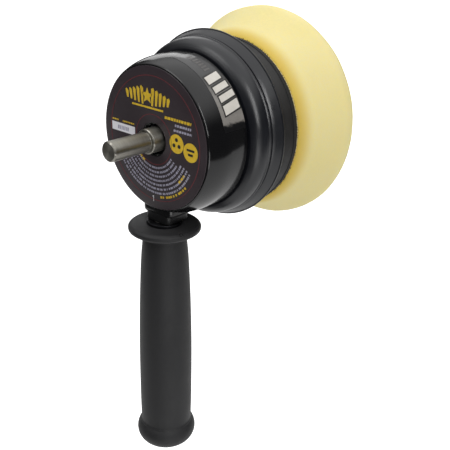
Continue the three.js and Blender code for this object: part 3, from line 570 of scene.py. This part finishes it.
body = bmesh.new()
for radius in label["ringRadii"]:
    half = label["ringWidth"] / 2
    line = turnedBody([(radius - half, printY), (radius - half, printY - label["ink"]),
                       (radius + half, printY - label["ink"]), (radius + half, printY)], 144, True)
    extra = bpy.data.meshes.new("line")
    line.to_mesh(extra)
    line.free()
    body.from_mesh(extra)
finishPiece(objectFrom("labelRings", body), redInk, "housing", sharp=20)

# emblem of plain feathers either side of a star, over a bar
emblem = {"x": -3.8, "z": 15.8, "feathers": 5, "pitch": 2.55, "width": 2.0, "tallest": 8.6, "drop": 1.1,
          "barLength": 21.0, "starRise": 4.3, "star": (3.9, 1.75), "first": 3.2, "lift": 0.35}
e = emblem
gold = [star(e["x"], e["z"] + e["starRise"], *e["star"])]
for side in (-1, 1):
    for k in range(e["feathers"]):
        x = e["x"] + side * (e["first"] + e["pitch"] * k)
        tall = e["tallest"] - e["drop"] * k
        foot, tip = e["z"] + e["lift"] * k, e["z"] + e["lift"] * k + tall
        w = e["width"] / 2
        gold.append([(x - w * 0.55, foot), (x + w * 0.55, foot), (x + w + side * 0.5, tip - 1.1),
                     (x + side * 0.9, tip), (x - w + side * 0.5, tip - 0.6)])
gold.append(bar(e["x"] - e["barLength"] / 2, e["z"] - 1.5, e["barLength"], 0.9))
printed("labelEmblem", gold, goldInk)

# dashes that stand in for lines of small print: first x, last x, z, height, longest dash
printLines = {
    "gold": [(7.6, 24.4, 11.6, 1.3, 2.3), (-29.0, -24.6, 4.3, 0.7, 1.2), (-21.5, -13.2, 4.3, 0.7, 1.2)],
    "grey": [(14.2, 24.6, 9.2, 1.1, 1.6), (13.4, 24.8, 6.9, 1.0, 1.5)],
    "box": [(-25.2, -17.0, 0.2, 1.9, 1.3)],
    "white": [(-29.3, -0.8, 16.5, 4.1), (-0.65, -30.9, 0.35, 3.0), (-1.2, -28.6, 0.6, 0.35)],  # plain bars
}
dice = random.Random(7)


def dashLine(x0, x1, z, height, longest):
    dashes, x = [], x0
    while x < x1:
        width = min(dice.uniform(0.45, 1.0) * longest, x1 - x)
        dashes.append(bar(x, z, width, height, height * 0.15))
        x += width + dice.uniform(0.3, 0.5)
    return dashes


def dashLines(kind):
    return [dash for line in printLines[kind] for dash in dashLine(*line)]


printed("labelGoldDashes", dashLines("gold"), goldInk)
printed("labelGreyDashes", dashLines("grey"), greyInk)
printed("labelWhiteBox", [bar(*place) for place in printLines["white"]], whiteInk)
printed("labelBoxDashes", dashLines("box"), greyInk, 1)
discs = {"first": (15.3, 1.3), "second": (24.2, -0.9), "radius": 4.5}
printed("labelDiscs", [roundSpot(*discs[spot], discs["radius"], 40) for spot in ("first", "second")], goldInk)
marks = [roundSpot(discs["first"][0] + 1.9 * math.cos(a), discs["first"][1] + 1.9 * math.sin(a), 0.95, 16)
         for a in (math.pi / 2, math.pi * 7 / 6, math.pi * 11 / 6)]
marks += [bar(discs["second"][0] - 2.4, discs["second"][1] + 0.5, 4.8, 1.1),
          bar(discs["second"][0] - 1.5, discs["second"][1] - 1.6, 3.0, 1.1)]
printed("labelDiscMarks", marks, darkInk, 1)

# rows of dashes along arcs under the shaft hole
rows, entry = newGroup("dashRows", [
    ("Rows", "Int"), ("Per Row", "Int"), ("First Radius", "Float"), ("Pitch", "Float"), ("From", "Float"),
    ("Sweep", "Float"), ("Height", "Float"), ("Depth", "Float"), ("Y", "Float"), ("Seed", "Int"),
    ("Material", "Material")])


def calc(group, operation, a, b=0.0):
    return addNode(group, "ShaderNodeMath", {0: a, 1: b}, operation=operation).outputs[0]


def drawn(group, entry, low, high):
    # a number between two limits, another for each point
    return addNode(group, "FunctionNodeRandomValue", {"Min": low, "Max": high, "Seed": entry.outputs["Seed"]},
                   data_type="FLOAT").outputs["Value"]


def onCircle(group, radius, angle, y=0.0, x=0.0):
    across = calc(group, "ADD", x, calc(group, "MULTIPLY", radius, calc(group, "COSINE", angle)))
    rise = calc(group, "MULTIPLY", radius, calc(group, "SINE", angle))
    return addNode(group, "ShaderNodeCombineXYZ", {0: across, 1: y, 2: rise}).outputs[0]


total = calc(rows, "MULTIPLY", entry.outputs["Rows"], entry.outputs["Per Row"])
line = addNode(rows, "GeometryNodeMeshLine", {"Count": total})
index = addNode(rows, "GeometryNodeInputIndex").outputs[0]
row = calc(rows, "FLOOR", calc(rows, "DIVIDE", index, entry.outputs["Per Row"]))
step = calc(rows, "SUBTRACT", index, calc(rows, "MULTIPLY", row, entry.outputs["Per Row"]))
radius = calc(rows, "ADD", entry.outputs["First Radius"], calc(rows, "MULTIPLY", row, entry.outputs["Pitch"]))
share = calc(rows, "DIVIDE", calc(rows, "ADD", step, drawn(rows, entry, -0.22, 0.22)), entry.outputs["Per Row"])
angle = calc(rows, "ADD", entry.outputs["From"], calc(rows, "MULTIPLY", share, entry.outputs["Sweep"]))
place = onCircle(rows, radius, angle, entry.outputs["Y"])
moved = addNode(rows, "GeometryNodeSetPosition", {0: line.outputs[0], "Position": place})
brick = addNode(rows, "GeometryNodeMeshCube", {"Size": (1, 1, 1)})
spin = addNode(rows, "ShaderNodeCombineXYZ", {1: calc(rows, "SUBTRACT", -math.pi / 2, angle)})
room = calc(rows, "MULTIPLY", calc(rows, "DIVIDE", entry.outputs["Sweep"], entry.outputs["Per Row"]), radius)
length = calc(rows, "MULTIPLY", calc(rows, "MULTIPLY", room, 0.8), drawn(rows, entry, 0.55, 1.0))
size = addNode(rows, "ShaderNodeCombineXYZ", {0: length, 1: entry.outputs["Depth"], 2: entry.outputs["Height"]})
laid = addNode(rows, "GeometryNodeInstanceOnPoints", {0: moved.outputs[0], "Instance": brick.outputs[0],
    "Rotation": spin.outputs[0], "Scale": size.outputs[0]})
closeGroup(rows, entry, laid.outputs[0])
smallPrint = {"Rows": 3, "Per Row": 30, "First Radius": 13.6 * mm, "Pitch": 2.1 * mm,
              "From": math.radians(-152), "Sweep": math.radians(124), "Height": 0.95 * mm,
              "Depth": label["ink"] * mm,
              "Y": (printY - label["ink"] / 2) * mm, "Seed": 5, "Material": greyInk}
widePrint = dict(smallPrint, Seed=11)
widePrint.update({"Rows": 4, "Per Row": 42, "First Radius": 19.9 * mm, "From": math.radians(-147)})
goldRow = dict(smallPrint, Rows=1, Seed=9, Material=goldInk)
goldRow.update({"Per Row": 11, "First Radius": 28.0 * mm, "From": math.radians(-80), "Sweep": math.radians(42),
                "Height": 1.1 * mm})
# the gold words lie over the grey print
goldWord = dict(goldRow, Seed=4, Depth=2 * label["ink"] * mm, Y=(printY - label["ink"]) * mm)
goldWord.update({"Per Row": 5, "First Radius": 23.9 * mm, "From": math.radians(-45), "Sweep": math.radians(14)})
goldStart = dict(goldWord, Seed=6)
goldStart.update({"First Radius": 12.9 * mm, "From": math.radians(-140), "Sweep": math.radians(26)})
for name, values in (("labelInnerPrint", smallPrint), ("labelOuterPrint", widePrint), ("labelGoldRow", goldRow),
                     ("labelGoldWord", goldWord), ("labelGoldStart", goldStart)):
    finishPiece(growPiece(name, rows, values), values["Material"], "housing", sharp=20)
print("label printed")

# barrel band

band = {"from": 14.0, "to": 84.0, "start": 8.6, "end": 22.35, "lift": 0.10, "across": 20, "round": 70}


def onBarrel(phi, run, lift):
    radius = barrelRadiusAt(run) + lift
    angle = math.radians(phi)
    return Vector((radius * math.cos(angle), faceY + run, radius * math.sin(angle))) * mm


def barrelPatch(body, corners, low, high, steps=8, across=4):
    # a curved plate on the barrel between four (angle, run) corners
    layers = []
    for lift in (low, high):
        grid = []
        for i in range(steps + 1):
            s = i / steps
            a = Vector(corners[0]).lerp(Vector(corners[1]), s)
            b = Vector(corners[3]).lerp(Vector(corners[2]), s)
            grid.append([body.verts.new(onBarrel(*a.lerp(b, j / across), lift)) for j in range(across + 1)])
        layers.append(grid)
    for grid in layers:
        for i in range(steps):
            for j in range(across):
                body.faces.new((grid[i][j], grid[i + 1][j], grid[i + 1][j + 1], grid[i][j + 1]))
    edge = ([(i, 0) for i in range(steps)] + [(steps, j) for j in range(across)]
            + [(i, across) for i in range(steps, 0, -1)] + [(0, j) for j in range(across, 0, -1)])
    for k in range(len(edge)):
        (i, j), (u, v) = edge[k], edge[(k + 1) % len(edge)]
        body.faces.new((layers[0][i][j], layers[0][u][v], layers[1][u][v], layers[1][i][j]))


b = band
body = bmesh.new()
barrelPatch(body, [(b["from"], b["start"]), (b["to"], b["start"]), (b["to"], b["end"]), (b["from"], b["end"])],
            0.01, b["lift"], b["round"], b["across"])
bmesh.ops.recalc_face_normals(body, faces=body.faces)
sheetMap = body.loops.layers.uv.new("film")
for face in body.faces:
    for loop in face.loops:
        at = loop.vert.co / mm
        loop[sheetMap].uv = ((math.degrees(math.atan2(at.z, at.x)) - b["from"]) / (b["to"] - b["from"]),
                             (at.y - faceY - b["start"]) / (b["end"] - b["start"]))
finishPiece(objectFrom("barrelBand", body), bandFilm, "housing", ["barrel_label"])

# slanted blocks on the band: (start angle, width in degrees, first run, last run, slant in degrees)
blocks = [(25.0, 6.6, 11.4, 21.7, 3.5), (34.0, 4.6, 11.4, 21.7, 3.5), (41.2, 4.6, 10.8, 20.8, 3.5),
          (48.4, 6.2, 10.2, 19.8, 3.5)]
for name, ink, grow, low, high in (("bandBlockEdges", darkInk, 0.75, 0.10, 0.14),
                                   ("bandBlocks", creamInk, 0.0, 0.14, 0.19)):
    body = bmesh.new()
    for start, width, first, last, slant in blocks:
        wide = grow * 1.5
        left, right = start - wide, start + width + wide
        barrelPatch(body, [(left, first - grow), (right, first - grow), (right + slant, last + grow),
                           (left + slant, last + grow)], low, high)
    bmesh.ops.recalc_face_normals(body, faces=body.faces)
    finishPiece(objectFrom(name, body), ink, "housing", sharp=20)
body = bmesh.new()
dashes = {"count": 7, "from": 60.0, "pitch": 2.9, "width": 1.5, "slant": 1.1, "first": 13.6, "last": 17.6}
for k in range(dashes["count"]):
    start, end = dashes["from"] + dashes["pitch"] * k, dashes["from"] + dashes["pitch"] * k + dashes["width"]
    barrelPatch(body, [(start, dashes["first"]), (end, dashes["first"]),
                       (end + dashes["slant"], dashes["last"]), (start + dashes["slant"], dashes["last"])],
                0.10, 0.15, 2, 4)
bmesh.ops.recalc_face_normals(body, faces=body.faces)
finishPiece(objectFrom("bandDashes", body), smokeInk, "housing", sharp=20)
print("band made")

# skirt with its ring and screws

skirtLow, skirtHigh = boxOf("skirt")
rubber = {"sleeve": 35.25, "sleeveInner": 33.45, "flangeInner": 26.0, "flange": 2.0, "start": 38.7,
          "startY": 51.5, "sides": 192,
          "band": [(39.8, 0.5), (41.5, 1.7), (42.9, 3.7), (43.55, 5.9), (43.6, 7.7)],
          "groove": [(44.05, 8.25, 0.2), (44.05, 8.75, 0.2), (43.15, 9.1, 0.2), (43.15, 9.75, 0.25)],
          "flare": [(43.8, 10.0), (44.5, 11.0), (45.3, 12.5), (46.05, 14.0)],
          "lip": [(46.2, 14.35, 0.1), (46.8, 14.55, 0.22)],
          "inside": [(44.2, 13.9), (42.8, 11.4), (41.6, 9.2), (40.7, 6.4), (38.9, 3.4), (36.2, 1.6),
                     (33.45, 0.6)]}
r, y0 = rubber, rubber["startY"]


def fromBarrelEnd(places):
    # the same places with their runs counted from the skirt's start
    return [(place[0], y0 + place[1], *place[2:]) for place in places]


outline = [(r["flangeInner"], skirtLow.y, 0.3), (r["sleeve"], skirtLow.y, 0.4), (r["sleeve"], y0),
           (r["start"], y0, 0.5)]
outline += smoothRun(fromBarrelEnd(r["band"])) + fromBarrelEnd(r["groove"])
outline += smoothRun(fromBarrelEnd(r["flare"])) + fromBarrelEnd(r["lip"])
outline += [(46.8, skirtHigh.y, 0.35), (44.8, skirtHigh.y, 0.3)]
outline += smoothRun(fromBarrelEnd(r["inside"]), 4)
flangeY = skirtLow.y + r["flange"]
outline += [(r["sleeveInner"], flangeY, 0.4), (r["flangeInner"], flangeY, 0.3)]
finishPiece(turnedPiece("skirt", outline, True, 4, r["sides"]), skirtRubber,
            "housing", ["skirt"])

ringLow, ringHigh = boxOf("skirt_clamp_ring")
clampOuter = 33.05
clamp = roundCorners([(r["flangeInner"], ringLow.y, 0.2), (clampOuter, ringLow.y, 0.2),
                      (clampOuter, ringHigh.y, 0.2), (r["flangeInner"], ringHigh.y, 0.2)], True, 3)
finishPiece(objectFrom("clampRing", turnedBody(clamp, 128, True)), zincSteel, "housing",
            ["skirt_clamp_ring"])

screw = {"shank": 1.5, "head": 2.8, "headHeight": 1.9, "shankEnd": 41.0, "socket": 1.25, "socketDepth": 1.1,
         "circle": 29.5, "count": 6}
top = ringHigh.y + screw["headHeight"]
pattern = objectFrom("screwPattern", turnedBody(roundCorners(
    [(0, screw["shankEnd"]), (screw["shank"], screw["shankEnd"], 0.2), (screw["shank"], ringHigh.y),
     (screw["head"], ringHigh.y, 0.1), (screw["head"], top, 0.3), (0, top)], False, 3), 32, False))
socket = turnedBody([(0, top - screw["socketDepth"]), (screw["socket"], top - screw["socketDepth"]),
                     (screw["socket"], top + 1), (0, top + 1)], 6, False)
combine(pattern, objectFrom("socket", socket), "DIFFERENCE")
ringOf, entry = newGroup("screwRing", [("Count", "Int"), ("Circle", "Float"), ("Screw", "Object"),
    ("Material", "Material")])
around = addNode(ringOf, "GeometryNodeMeshLine", {"Count": entry.outputs["Count"], "Offset": (0, 0, 0)})
index = addNode(ringOf, "GeometryNodeInputIndex").outputs[0]
angle = calc(ringOf, "MULTIPLY", calc(ringOf, "DIVIDE", index, entry.outputs["Count"]), math.tau)
place = onCircle(ringOf, entry.outputs["Circle"], angle)
moved = addNode(ringOf, "GeometryNodeSetPosition", {0: around.outputs[0], "Position": place})
model = addNode(ringOf, "GeometryNodeObjectInfo", {"Object": entry.outputs["Screw"]})
screwSet = addNode(ringOf, "GeometryNodeInstanceOnPoints", {0: moved.outputs[0],
    "Instance": model.outputs["Geometry"]})
closeGroup(ringOf, entry, screwSet.outputs[0])
screws = growPiece("skirtScrews", ringOf, {"Count": screw["count"], "Circle": screw["circle"] * mm,
    "Screw": pattern, "Material": blackSteel})
bpy.data.objects.remove(pattern)
finishPiece(screws, blackSteel, "housing",
            ["skirt_screw_%d" % (k + 1) for k in range(screw["count"])])
print("skirt made")

# pad holder

plateLow, plateHigh = boxOf("backing_plate")
cushLow, cushHigh = boxOf("plate_cushion")
hookLow, hookHigh = boxOf("hook_disc")
offset = (plateLow.x + plateHigh.x) / 2
padPlace = (offset, 0, 0)
holder = {"bore": 5.05, "coneRadius": 41.4, "coneRun": 5.2,
          "web": 33.1, "rimInner": 37.1, "rimOuter": 40.1, "edge": 42.2, "webY": 73.5,
          "softBore": 8.6, "cushion": 42.5, "hooks": 42.3, "loops": 41.8, "sides": 176}
p = holder
outline = [(p["bore"], p["webY"], 0.2), (p["web"], p["webY"], 2.0), (p["rimInner"], plateLow.y, 0.4),
           (p["rimOuter"], plateLow.y, 0.5), (p["coneRadius"], plateLow.y + p["coneRun"], 1.5),
           (p["edge"], plateHigh.y, 0.15),
           (p["bore"], plateHigh.y, 0.2)]
finishPiece(turnedPiece("padHolder", outline, True, 4, p["sides"], centre=padPlace),
            plateNylon, "spindle", ["backing_plate"])
outline = [(p["softBore"], cushLow.y, 0.2), (p["cushion"], cushLow.y, 0.3), (p["cushion"], cushHigh.y, 0.25),
           (p["softBore"], cushHigh.y, 0.2)]
finishPiece(turnedPiece("holderCushion", outline, True, 4, p["sides"], centre=padPlace),
            cushionRubber, "spindle", ["plate_cushion"])
outline = [(p["softBore"], hookLow.y), (p["hooks"], hookLow.y), (p["hooks"], hookHigh.y, 0.2),
           (p["softBore"], hookHigh.y, 0.2)]
finishPiece(turnedPiece("hookDisc", outline, True, 3, p["sides"], centre=padPlace),
            hookNylon, "spindle", ["hook_disc"])
loopLow, loopHigh = boxOf("loop_disc")
outline = [(0, loopLow.y), (p["loops"], loopLow.y, 0.25), (p["loops"], loopHigh.y, 0.25), (0, loopHigh.y)]
finishPiece(turnedPiece("loopDisc", outline, False, 3, p["sides"], centre=padPlace),
            loopCloth, "pad", ["loop_disc"])

# cut hooks standing out round the disc's edge
tufts, entry = newGroup("edgeTufts", [
    ("Count", "Int"), ("Circle", "Float"), ("X", "Float"), ("Low Y", "Float"), ("High Y", "Float"),
    ("Length", "Float"), ("Thickness", "Float"), ("Seed", "Int"), ("Material", "Material")])
around = addNode(tufts, "GeometryNodeMeshLine", {"Count": entry.outputs["Count"]})
index = addNode(tufts, "GeometryNodeInputIndex").outputs[0]
step = calc(tufts, "ADD", index, drawn(tufts, entry, -0.35, 0.35))
share = calc(tufts, "DIVIDE", step, entry.outputs["Count"])
angle = calc(tufts, "MULTIPLY", share, math.tau)
rise = drawn(tufts, entry, entry.outputs["Low Y"], entry.outputs["High Y"])
place = onCircle(tufts, entry.outputs["Circle"], angle, rise, entry.outputs["X"])
moved = addNode(tufts, "GeometryNodeSetPosition", {0: around.outputs[0], "Position": place})
hook = addNode(tufts, "GeometryNodeMeshCone", {"Vertices": 5, "Radius Top": 0.25, "Radius Bottom": 0.5,
    "Depth": 1.0})
lean = addNode(tufts, "ShaderNodeCombineXYZ", {1: calc(tufts, "SUBTRACT", math.pi / 2, angle)})
reach = drawn(tufts, entry, 0.5, 1.0)
size = addNode(tufts, "ShaderNodeCombineXYZ", {
    0: entry.outputs["Thickness"], 1: entry.outputs["Thickness"],
    2: calc(tufts, "MULTIPLY", entry.outputs["Length"], reach)})
grown = addNode(tufts, "GeometryNodeInstanceOnPoints", {0: moved.outputs[0], "Instance": hook.outputs[0],
    "Rotation": lean.outputs[0], "Scale": size.outputs[0]})
closeGroup(tufts, entry, grown.outputs[0])
hooks = {"Count": 210, "Circle": 42.15 * mm, "X": offset * mm, "Low Y": (hookLow.y + 0.2) * mm,
         "High Y": (hookHigh.y - 0.15) * mm, "Length": 0.7 * mm, "Thickness": 0.55 * mm, "Seed": 3,
         "Material": hookNylon}
finishPiece(growPiece("edgeHooks", tufts, hooks), hookNylon, "spindle")
print("pad holder made")

# foam pad

padLow, padHigh = boxOf("foam_pad")
foam = {"rimRadius": 46.9, "rimRound": 8.0, "sides": 480, "cells": 2.4, "cellDepth": 0.07,
        "swell": 0.22, "swellSize": 17.0, "swellBias": 0.4, "cellBias": 0.6,  # mostly inwards
        "backFlat": 41.0, "backRings": 40, "frontRings": 50, "rimSweep": (-26, 90),
        "rear": [(42.2, 0), (43.0, 0.75), (44.6, 3.4), (46.8, 8.0), (50.4, 14.6), (53.96, 21.1)]}
f = foam
rimY = padHigh.y - f["rimRound"]
rear = [(radius, padLow.y + run) for radius, run in f["rear"]]
outline = [(f["backFlat"] * k / f["backRings"], padLow.y) for k in range(f["backRings"] + 1)]
outline += smoothRun(rear, 8) + arcRun(f["rimRadius"], rimY, f["rimRound"], *f["rimSweep"], 34)
outline += [(f["rimRadius"] * (1 - k / f["frontRings"]), padHigh.y) for k in range(1, f["frontRings"] + 1)]
body = turnedBody(outline, f["sides"], False, centre=padPlace)
body.normal_update()
for vert in body.verts:
    at = vert.co / mm
    if at.y < padLow.y + 0.2:
        continue
    cell = noise.voronoi(at / f["cells"])[0][0]
    swell = noise.noise(at / f["swellSize"])
    inward = min(1.0, (padHigh.y - at.y) / 2 + 0.3)
    vert.co += vert.normal * mm * ((swell - f["swellBias"]) * f["swell"] * inward
                                   + (cell - f["cellBias"]) * f["cellDepth"])
finishPiece(objectFrom("foamPad", body), creamFoam, "pad", ["foam_pad"], sharp=60)

# side handle

gripLow, gripHigh = boxOf("handle_grip")
topZ, endZ = gripHigh.z, gripLow.z
axisPlace = (0, (gripLow.y + gripHigh.y) / 2, 0)
grip = {"bulge": 15.85, "bulgeRound": 8.0, "grip": 13.8,
        "bore": 7.03, "boreEnd": 12.0, "sides": 160,
        "bulgeEnd": [(13.95, 5.7), (13.6, 6.6), (13.62, 9.5)],  # rises from the bulge's middle
        "straight": (30, 60),  # rises from the end
        "waist": [(13.19, 44.1), (12.17, 21.1), (11.25, 10.0), (11.0, 7.4), (11.35, 5.7), (12.4, 4.85)],
        # drops from the top, with fillets
        "flangeRun": [(16.0, 4.4, 1.2), (18.15, 3.1, 1.3), (18.15, 1.2, 1.4), (16.6, 0, 1.6)]}
g = grip
bulgeZ = endZ + g["bulgeRound"]
outline = [(0, endZ)] + arcRun(g["bulge"] - g["bulgeRound"], bulgeZ, g["bulgeRound"], -90, 40, 16)
outline += smoothRun([(radius, bulgeZ + rise) for radius, rise in g["bulgeEnd"]]
                     + [(g["grip"], endZ + rise) for rise in g["straight"]]
                     + [(radius, topZ - drop) for radius, drop in g["waist"]], 5)
outline += [(radius, topZ - drop, fillet) for radius, drop, fillet in g["flangeRun"]]
outline += [(g["bore"], topZ, 0.2), (g["bore"], endZ + g["boreEnd"]), (0, endZ + g["boreEnd"])]
grips = turnedPiece("handleGrip", outline, False, 6, g["sides"], "Z", axisPlace)
dimple = {"x": 16.3, "y": -4.6, "radius": 1.1, "core": 0.6, "depth": 0.35, "drop": 0.6}
mould = turnedBody([(dimple["core"], -dimple["depth"]), (dimple["radius"], -dimple["depth"]),
                    (dimple["radius"], 3), (dimple["core"], 3)], 24, True, "Z",
                   (dimple["x"], axisPlace[1] + dimple["y"], topZ - dimple["drop"]))
combine(grips, objectFrom("mould", mould), "DIFFERENCE")
finishPiece(grips, gripRubber, "handle", ["handle_grip"])
washer = {"bore": 4.12, "radius": 9.0}
wash = roundCorners([(washer["bore"], washerLow.z, 0.1), (washer["radius"], washerLow.z, 0.25),
                     (washer["radius"], washerHigh.z, 0.25), (washer["bore"], washerHigh.z, 0.1)], True, 3)
finishPiece(objectFrom("handleWasher", turnedBody(wash, 72, True, "Z", axisPlace)), blackSteel, "washer",
            ["handle_washer"])
print("handle made")

# drive shaft

shaft = {"shank": 4.79, "chamfer": 0.6, "grooveY": 21.3, "grooveEnd": 22.2, "groove": 4.24, "journal": 6.0,
         "clipY": 30.2, "seatY": 31.2, "clip": 5.4, "end": 57.9, "sides": 112}
t = shaft
outline = [(0, 0), (t["shank"] - t["chamfer"], 0, 0.12), (t["shank"], t["chamfer"], 0.2),
           (t["shank"], t["grooveY"], 0.12),
           (t["groove"], t["grooveY"], 0.08), (t["groove"], t["grooveEnd"], 0.08), (5.6, t["grooveEnd"], 0.1),
           (t["journal"], t["grooveEnd"] + 0.4, 0.12), (t["journal"], t["clipY"], 0.05),
           (t["clip"], t["clipY"]),
           (t["clip"], t["seatY"]), (t["journal"], t["seatY"], 0.05), (t["journal"], t["end"] - 0.5, 0.1),
           (t["journal"] - 0.5, t["end"], 0.1), (0, t["end"])]
finishPiece(turnedPiece("driveShaft", outline, False, 4, t["sides"]), groundSteel,
            "drive", ["drive_shaft"])
print("shaft made")

# stage, light and camera

studio = {"floorZ": -0.70, "floorLow": (-12.0, -0.65), "floorHigh": (1.54, 12.0), "zenith": 1.3,
          "horizon": 0.05, "bounce": 0.3}
floorBody = bmesh.new()
(west, south), (east, north) = studio["floorLow"], studio["floorHigh"]
floorBody.faces.new([floorBody.verts.new((x, y, studio["floorZ"]))
                     for x, y in ((west, south), (east, south), (east, north), (west, north))])
floor = objectFrom("floor", floorBody)
paper, tree, shader = newFinish("paperSweep", "#c4c4c4", 0.9)  # matt white paper
shader.inputs["Emission Color"].default_value = (1, 1, 1, 1)
seen = addNode(tree, "ShaderNodeLightPath")
glow = addNode(tree, "ShaderNodeMix", {"Factor": seen.outputs["Is Camera Ray"], "A": studio["bounce"],
                                       "B": 1.0})  # the paper itself looks white
tree.links.new(glow.outputs[0], shader.inputs["Emission Strength"])
floor.data.materials.append(paper)
floor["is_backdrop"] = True

world = bpy.data.worlds.new("studio")
scene.world = world
world.use_nodes = True
tree = world.node_tree
sky = tree.nodes["Background"]
ray = addNode(tree, "ShaderNodeTexCoord")
height = addNode(tree, "ShaderNodeSeparateXYZ", {0: ray.outputs["Generated"]})
level = addNode(tree, "ShaderNodeMapRange", {"Value": height.outputs[2], "From Min": 0.3, "From Max": 0.85,
    "To Min": studio["horizon"], "To Max": studio["zenith"]}, interpolation_type="SMOOTHSTEP")
seen = addNode(tree, "ShaderNodeLightPath")
shown = addNode(tree, "ShaderNodeMix", {"Factor": seen.outputs["Is Camera Ray"], "A": level.outputs[0],
    "B": 1.0})
sky.inputs["Color"].default_value = (1, 1, 1, 1)
tree.links.new(shown.outputs[0], sky.inputs["Strength"])


def softbox(name, place, target, size, power):
    lamp = bpy.data.lights.new(name, "AREA")
    lamp.shape, lamp.size, lamp.size_y, lamp.energy = "RECTANGLE", size[0], size[1], power
    holder = bpy.data.objects.new(name, lamp)
    scene.collection.objects.link(holder)
    holder.location = place
    holder.rotation_euler = (Vector(target) - Vector(place)).to_track_quat("-Z", "Y").to_euler()
    holder.visible_camera = False
    return holder


lights = {  # place, target, size and power
    "keyLight": ((-0.30, -0.55, 0.85), (0, 0.05, -0.05), (0.5, 0.5), 1.7),
    "topRearLight": ((-0.85, 0.90, 0.42), (0, 0.05, 0.0), (0.7, 0.5), 1.7),
    "stripLight": ((0.95, -0.36, 0.52), (0, 0.05, 0.0), (0.16, 0.8), 4.2),
    "lowFill": ((0.85, -0.50, -0.42), (0, 0.08, 0.0), (0.6, 0.4), 1.7),
}
for name, setting in lights.items():
    softbox(name, *setting)

camera = {
    "place": (0.24858, -0.20223, 0.10436), "lens": 60.08,
    "right": (0.74231, 0.66964, 0.02388), "up": (-0.28418, 0.28234, 0.91626),
    "back": (0.60681, -0.68693, 0.39988),
}
lens = bpy.data.cameras.new("camera")
lens.lens, lens.sensor_width, lens.clip_start = camera["lens"], 36.0, 0.01
eye = bpy.data.objects.new("camera", lens)
scene.collection.objects.link(eye)
turnOf = Matrix((camera["right"], camera["up"], camera["back"])).transposed()
eye.matrix_world = Matrix.Translation(camera["place"]) @ turnOf.to_4x4()
scene.camera = eye
scene.view_settings.view_transform = "Standard"

nodeFinish = {
    "drive_shaft": groundSteel, "orbit_spindle": groundSteel, "counterweight": castIron,
    "eccentric_head": blackSteel, "head_set_screw": blackSteel, "plate_screw": blackSteel,
    "foam_pad": creamFoam, "skirt": skirtRubber, "backing_plate": plateNylon, "plate_cushion": cushionRubber,
    "hook_disc": hookNylon, "loop_disc": loopCloth, "handle_grip": gripRubber, "handle_core": coreResin,
    "rear_label": labelFilm, "barrel_label": bandFilm,
}
wordFinish = (("cage", cageNylon), ("seal", sealRubber), ("spacer", zincSteel), ("race", bearingSteel),
              ("circlip", blackSteel), ("screw", blackSteel), ("snap", blackSteel))
for name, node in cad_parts.items():
    finish = nodeFinish.get(name)
    if finish is None:
        finish = next((kind for word, kind in wordFinish if word in name), zincSteel)
    node.data.materials.clear()
    node.data.materials.append(finish)

low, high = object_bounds()
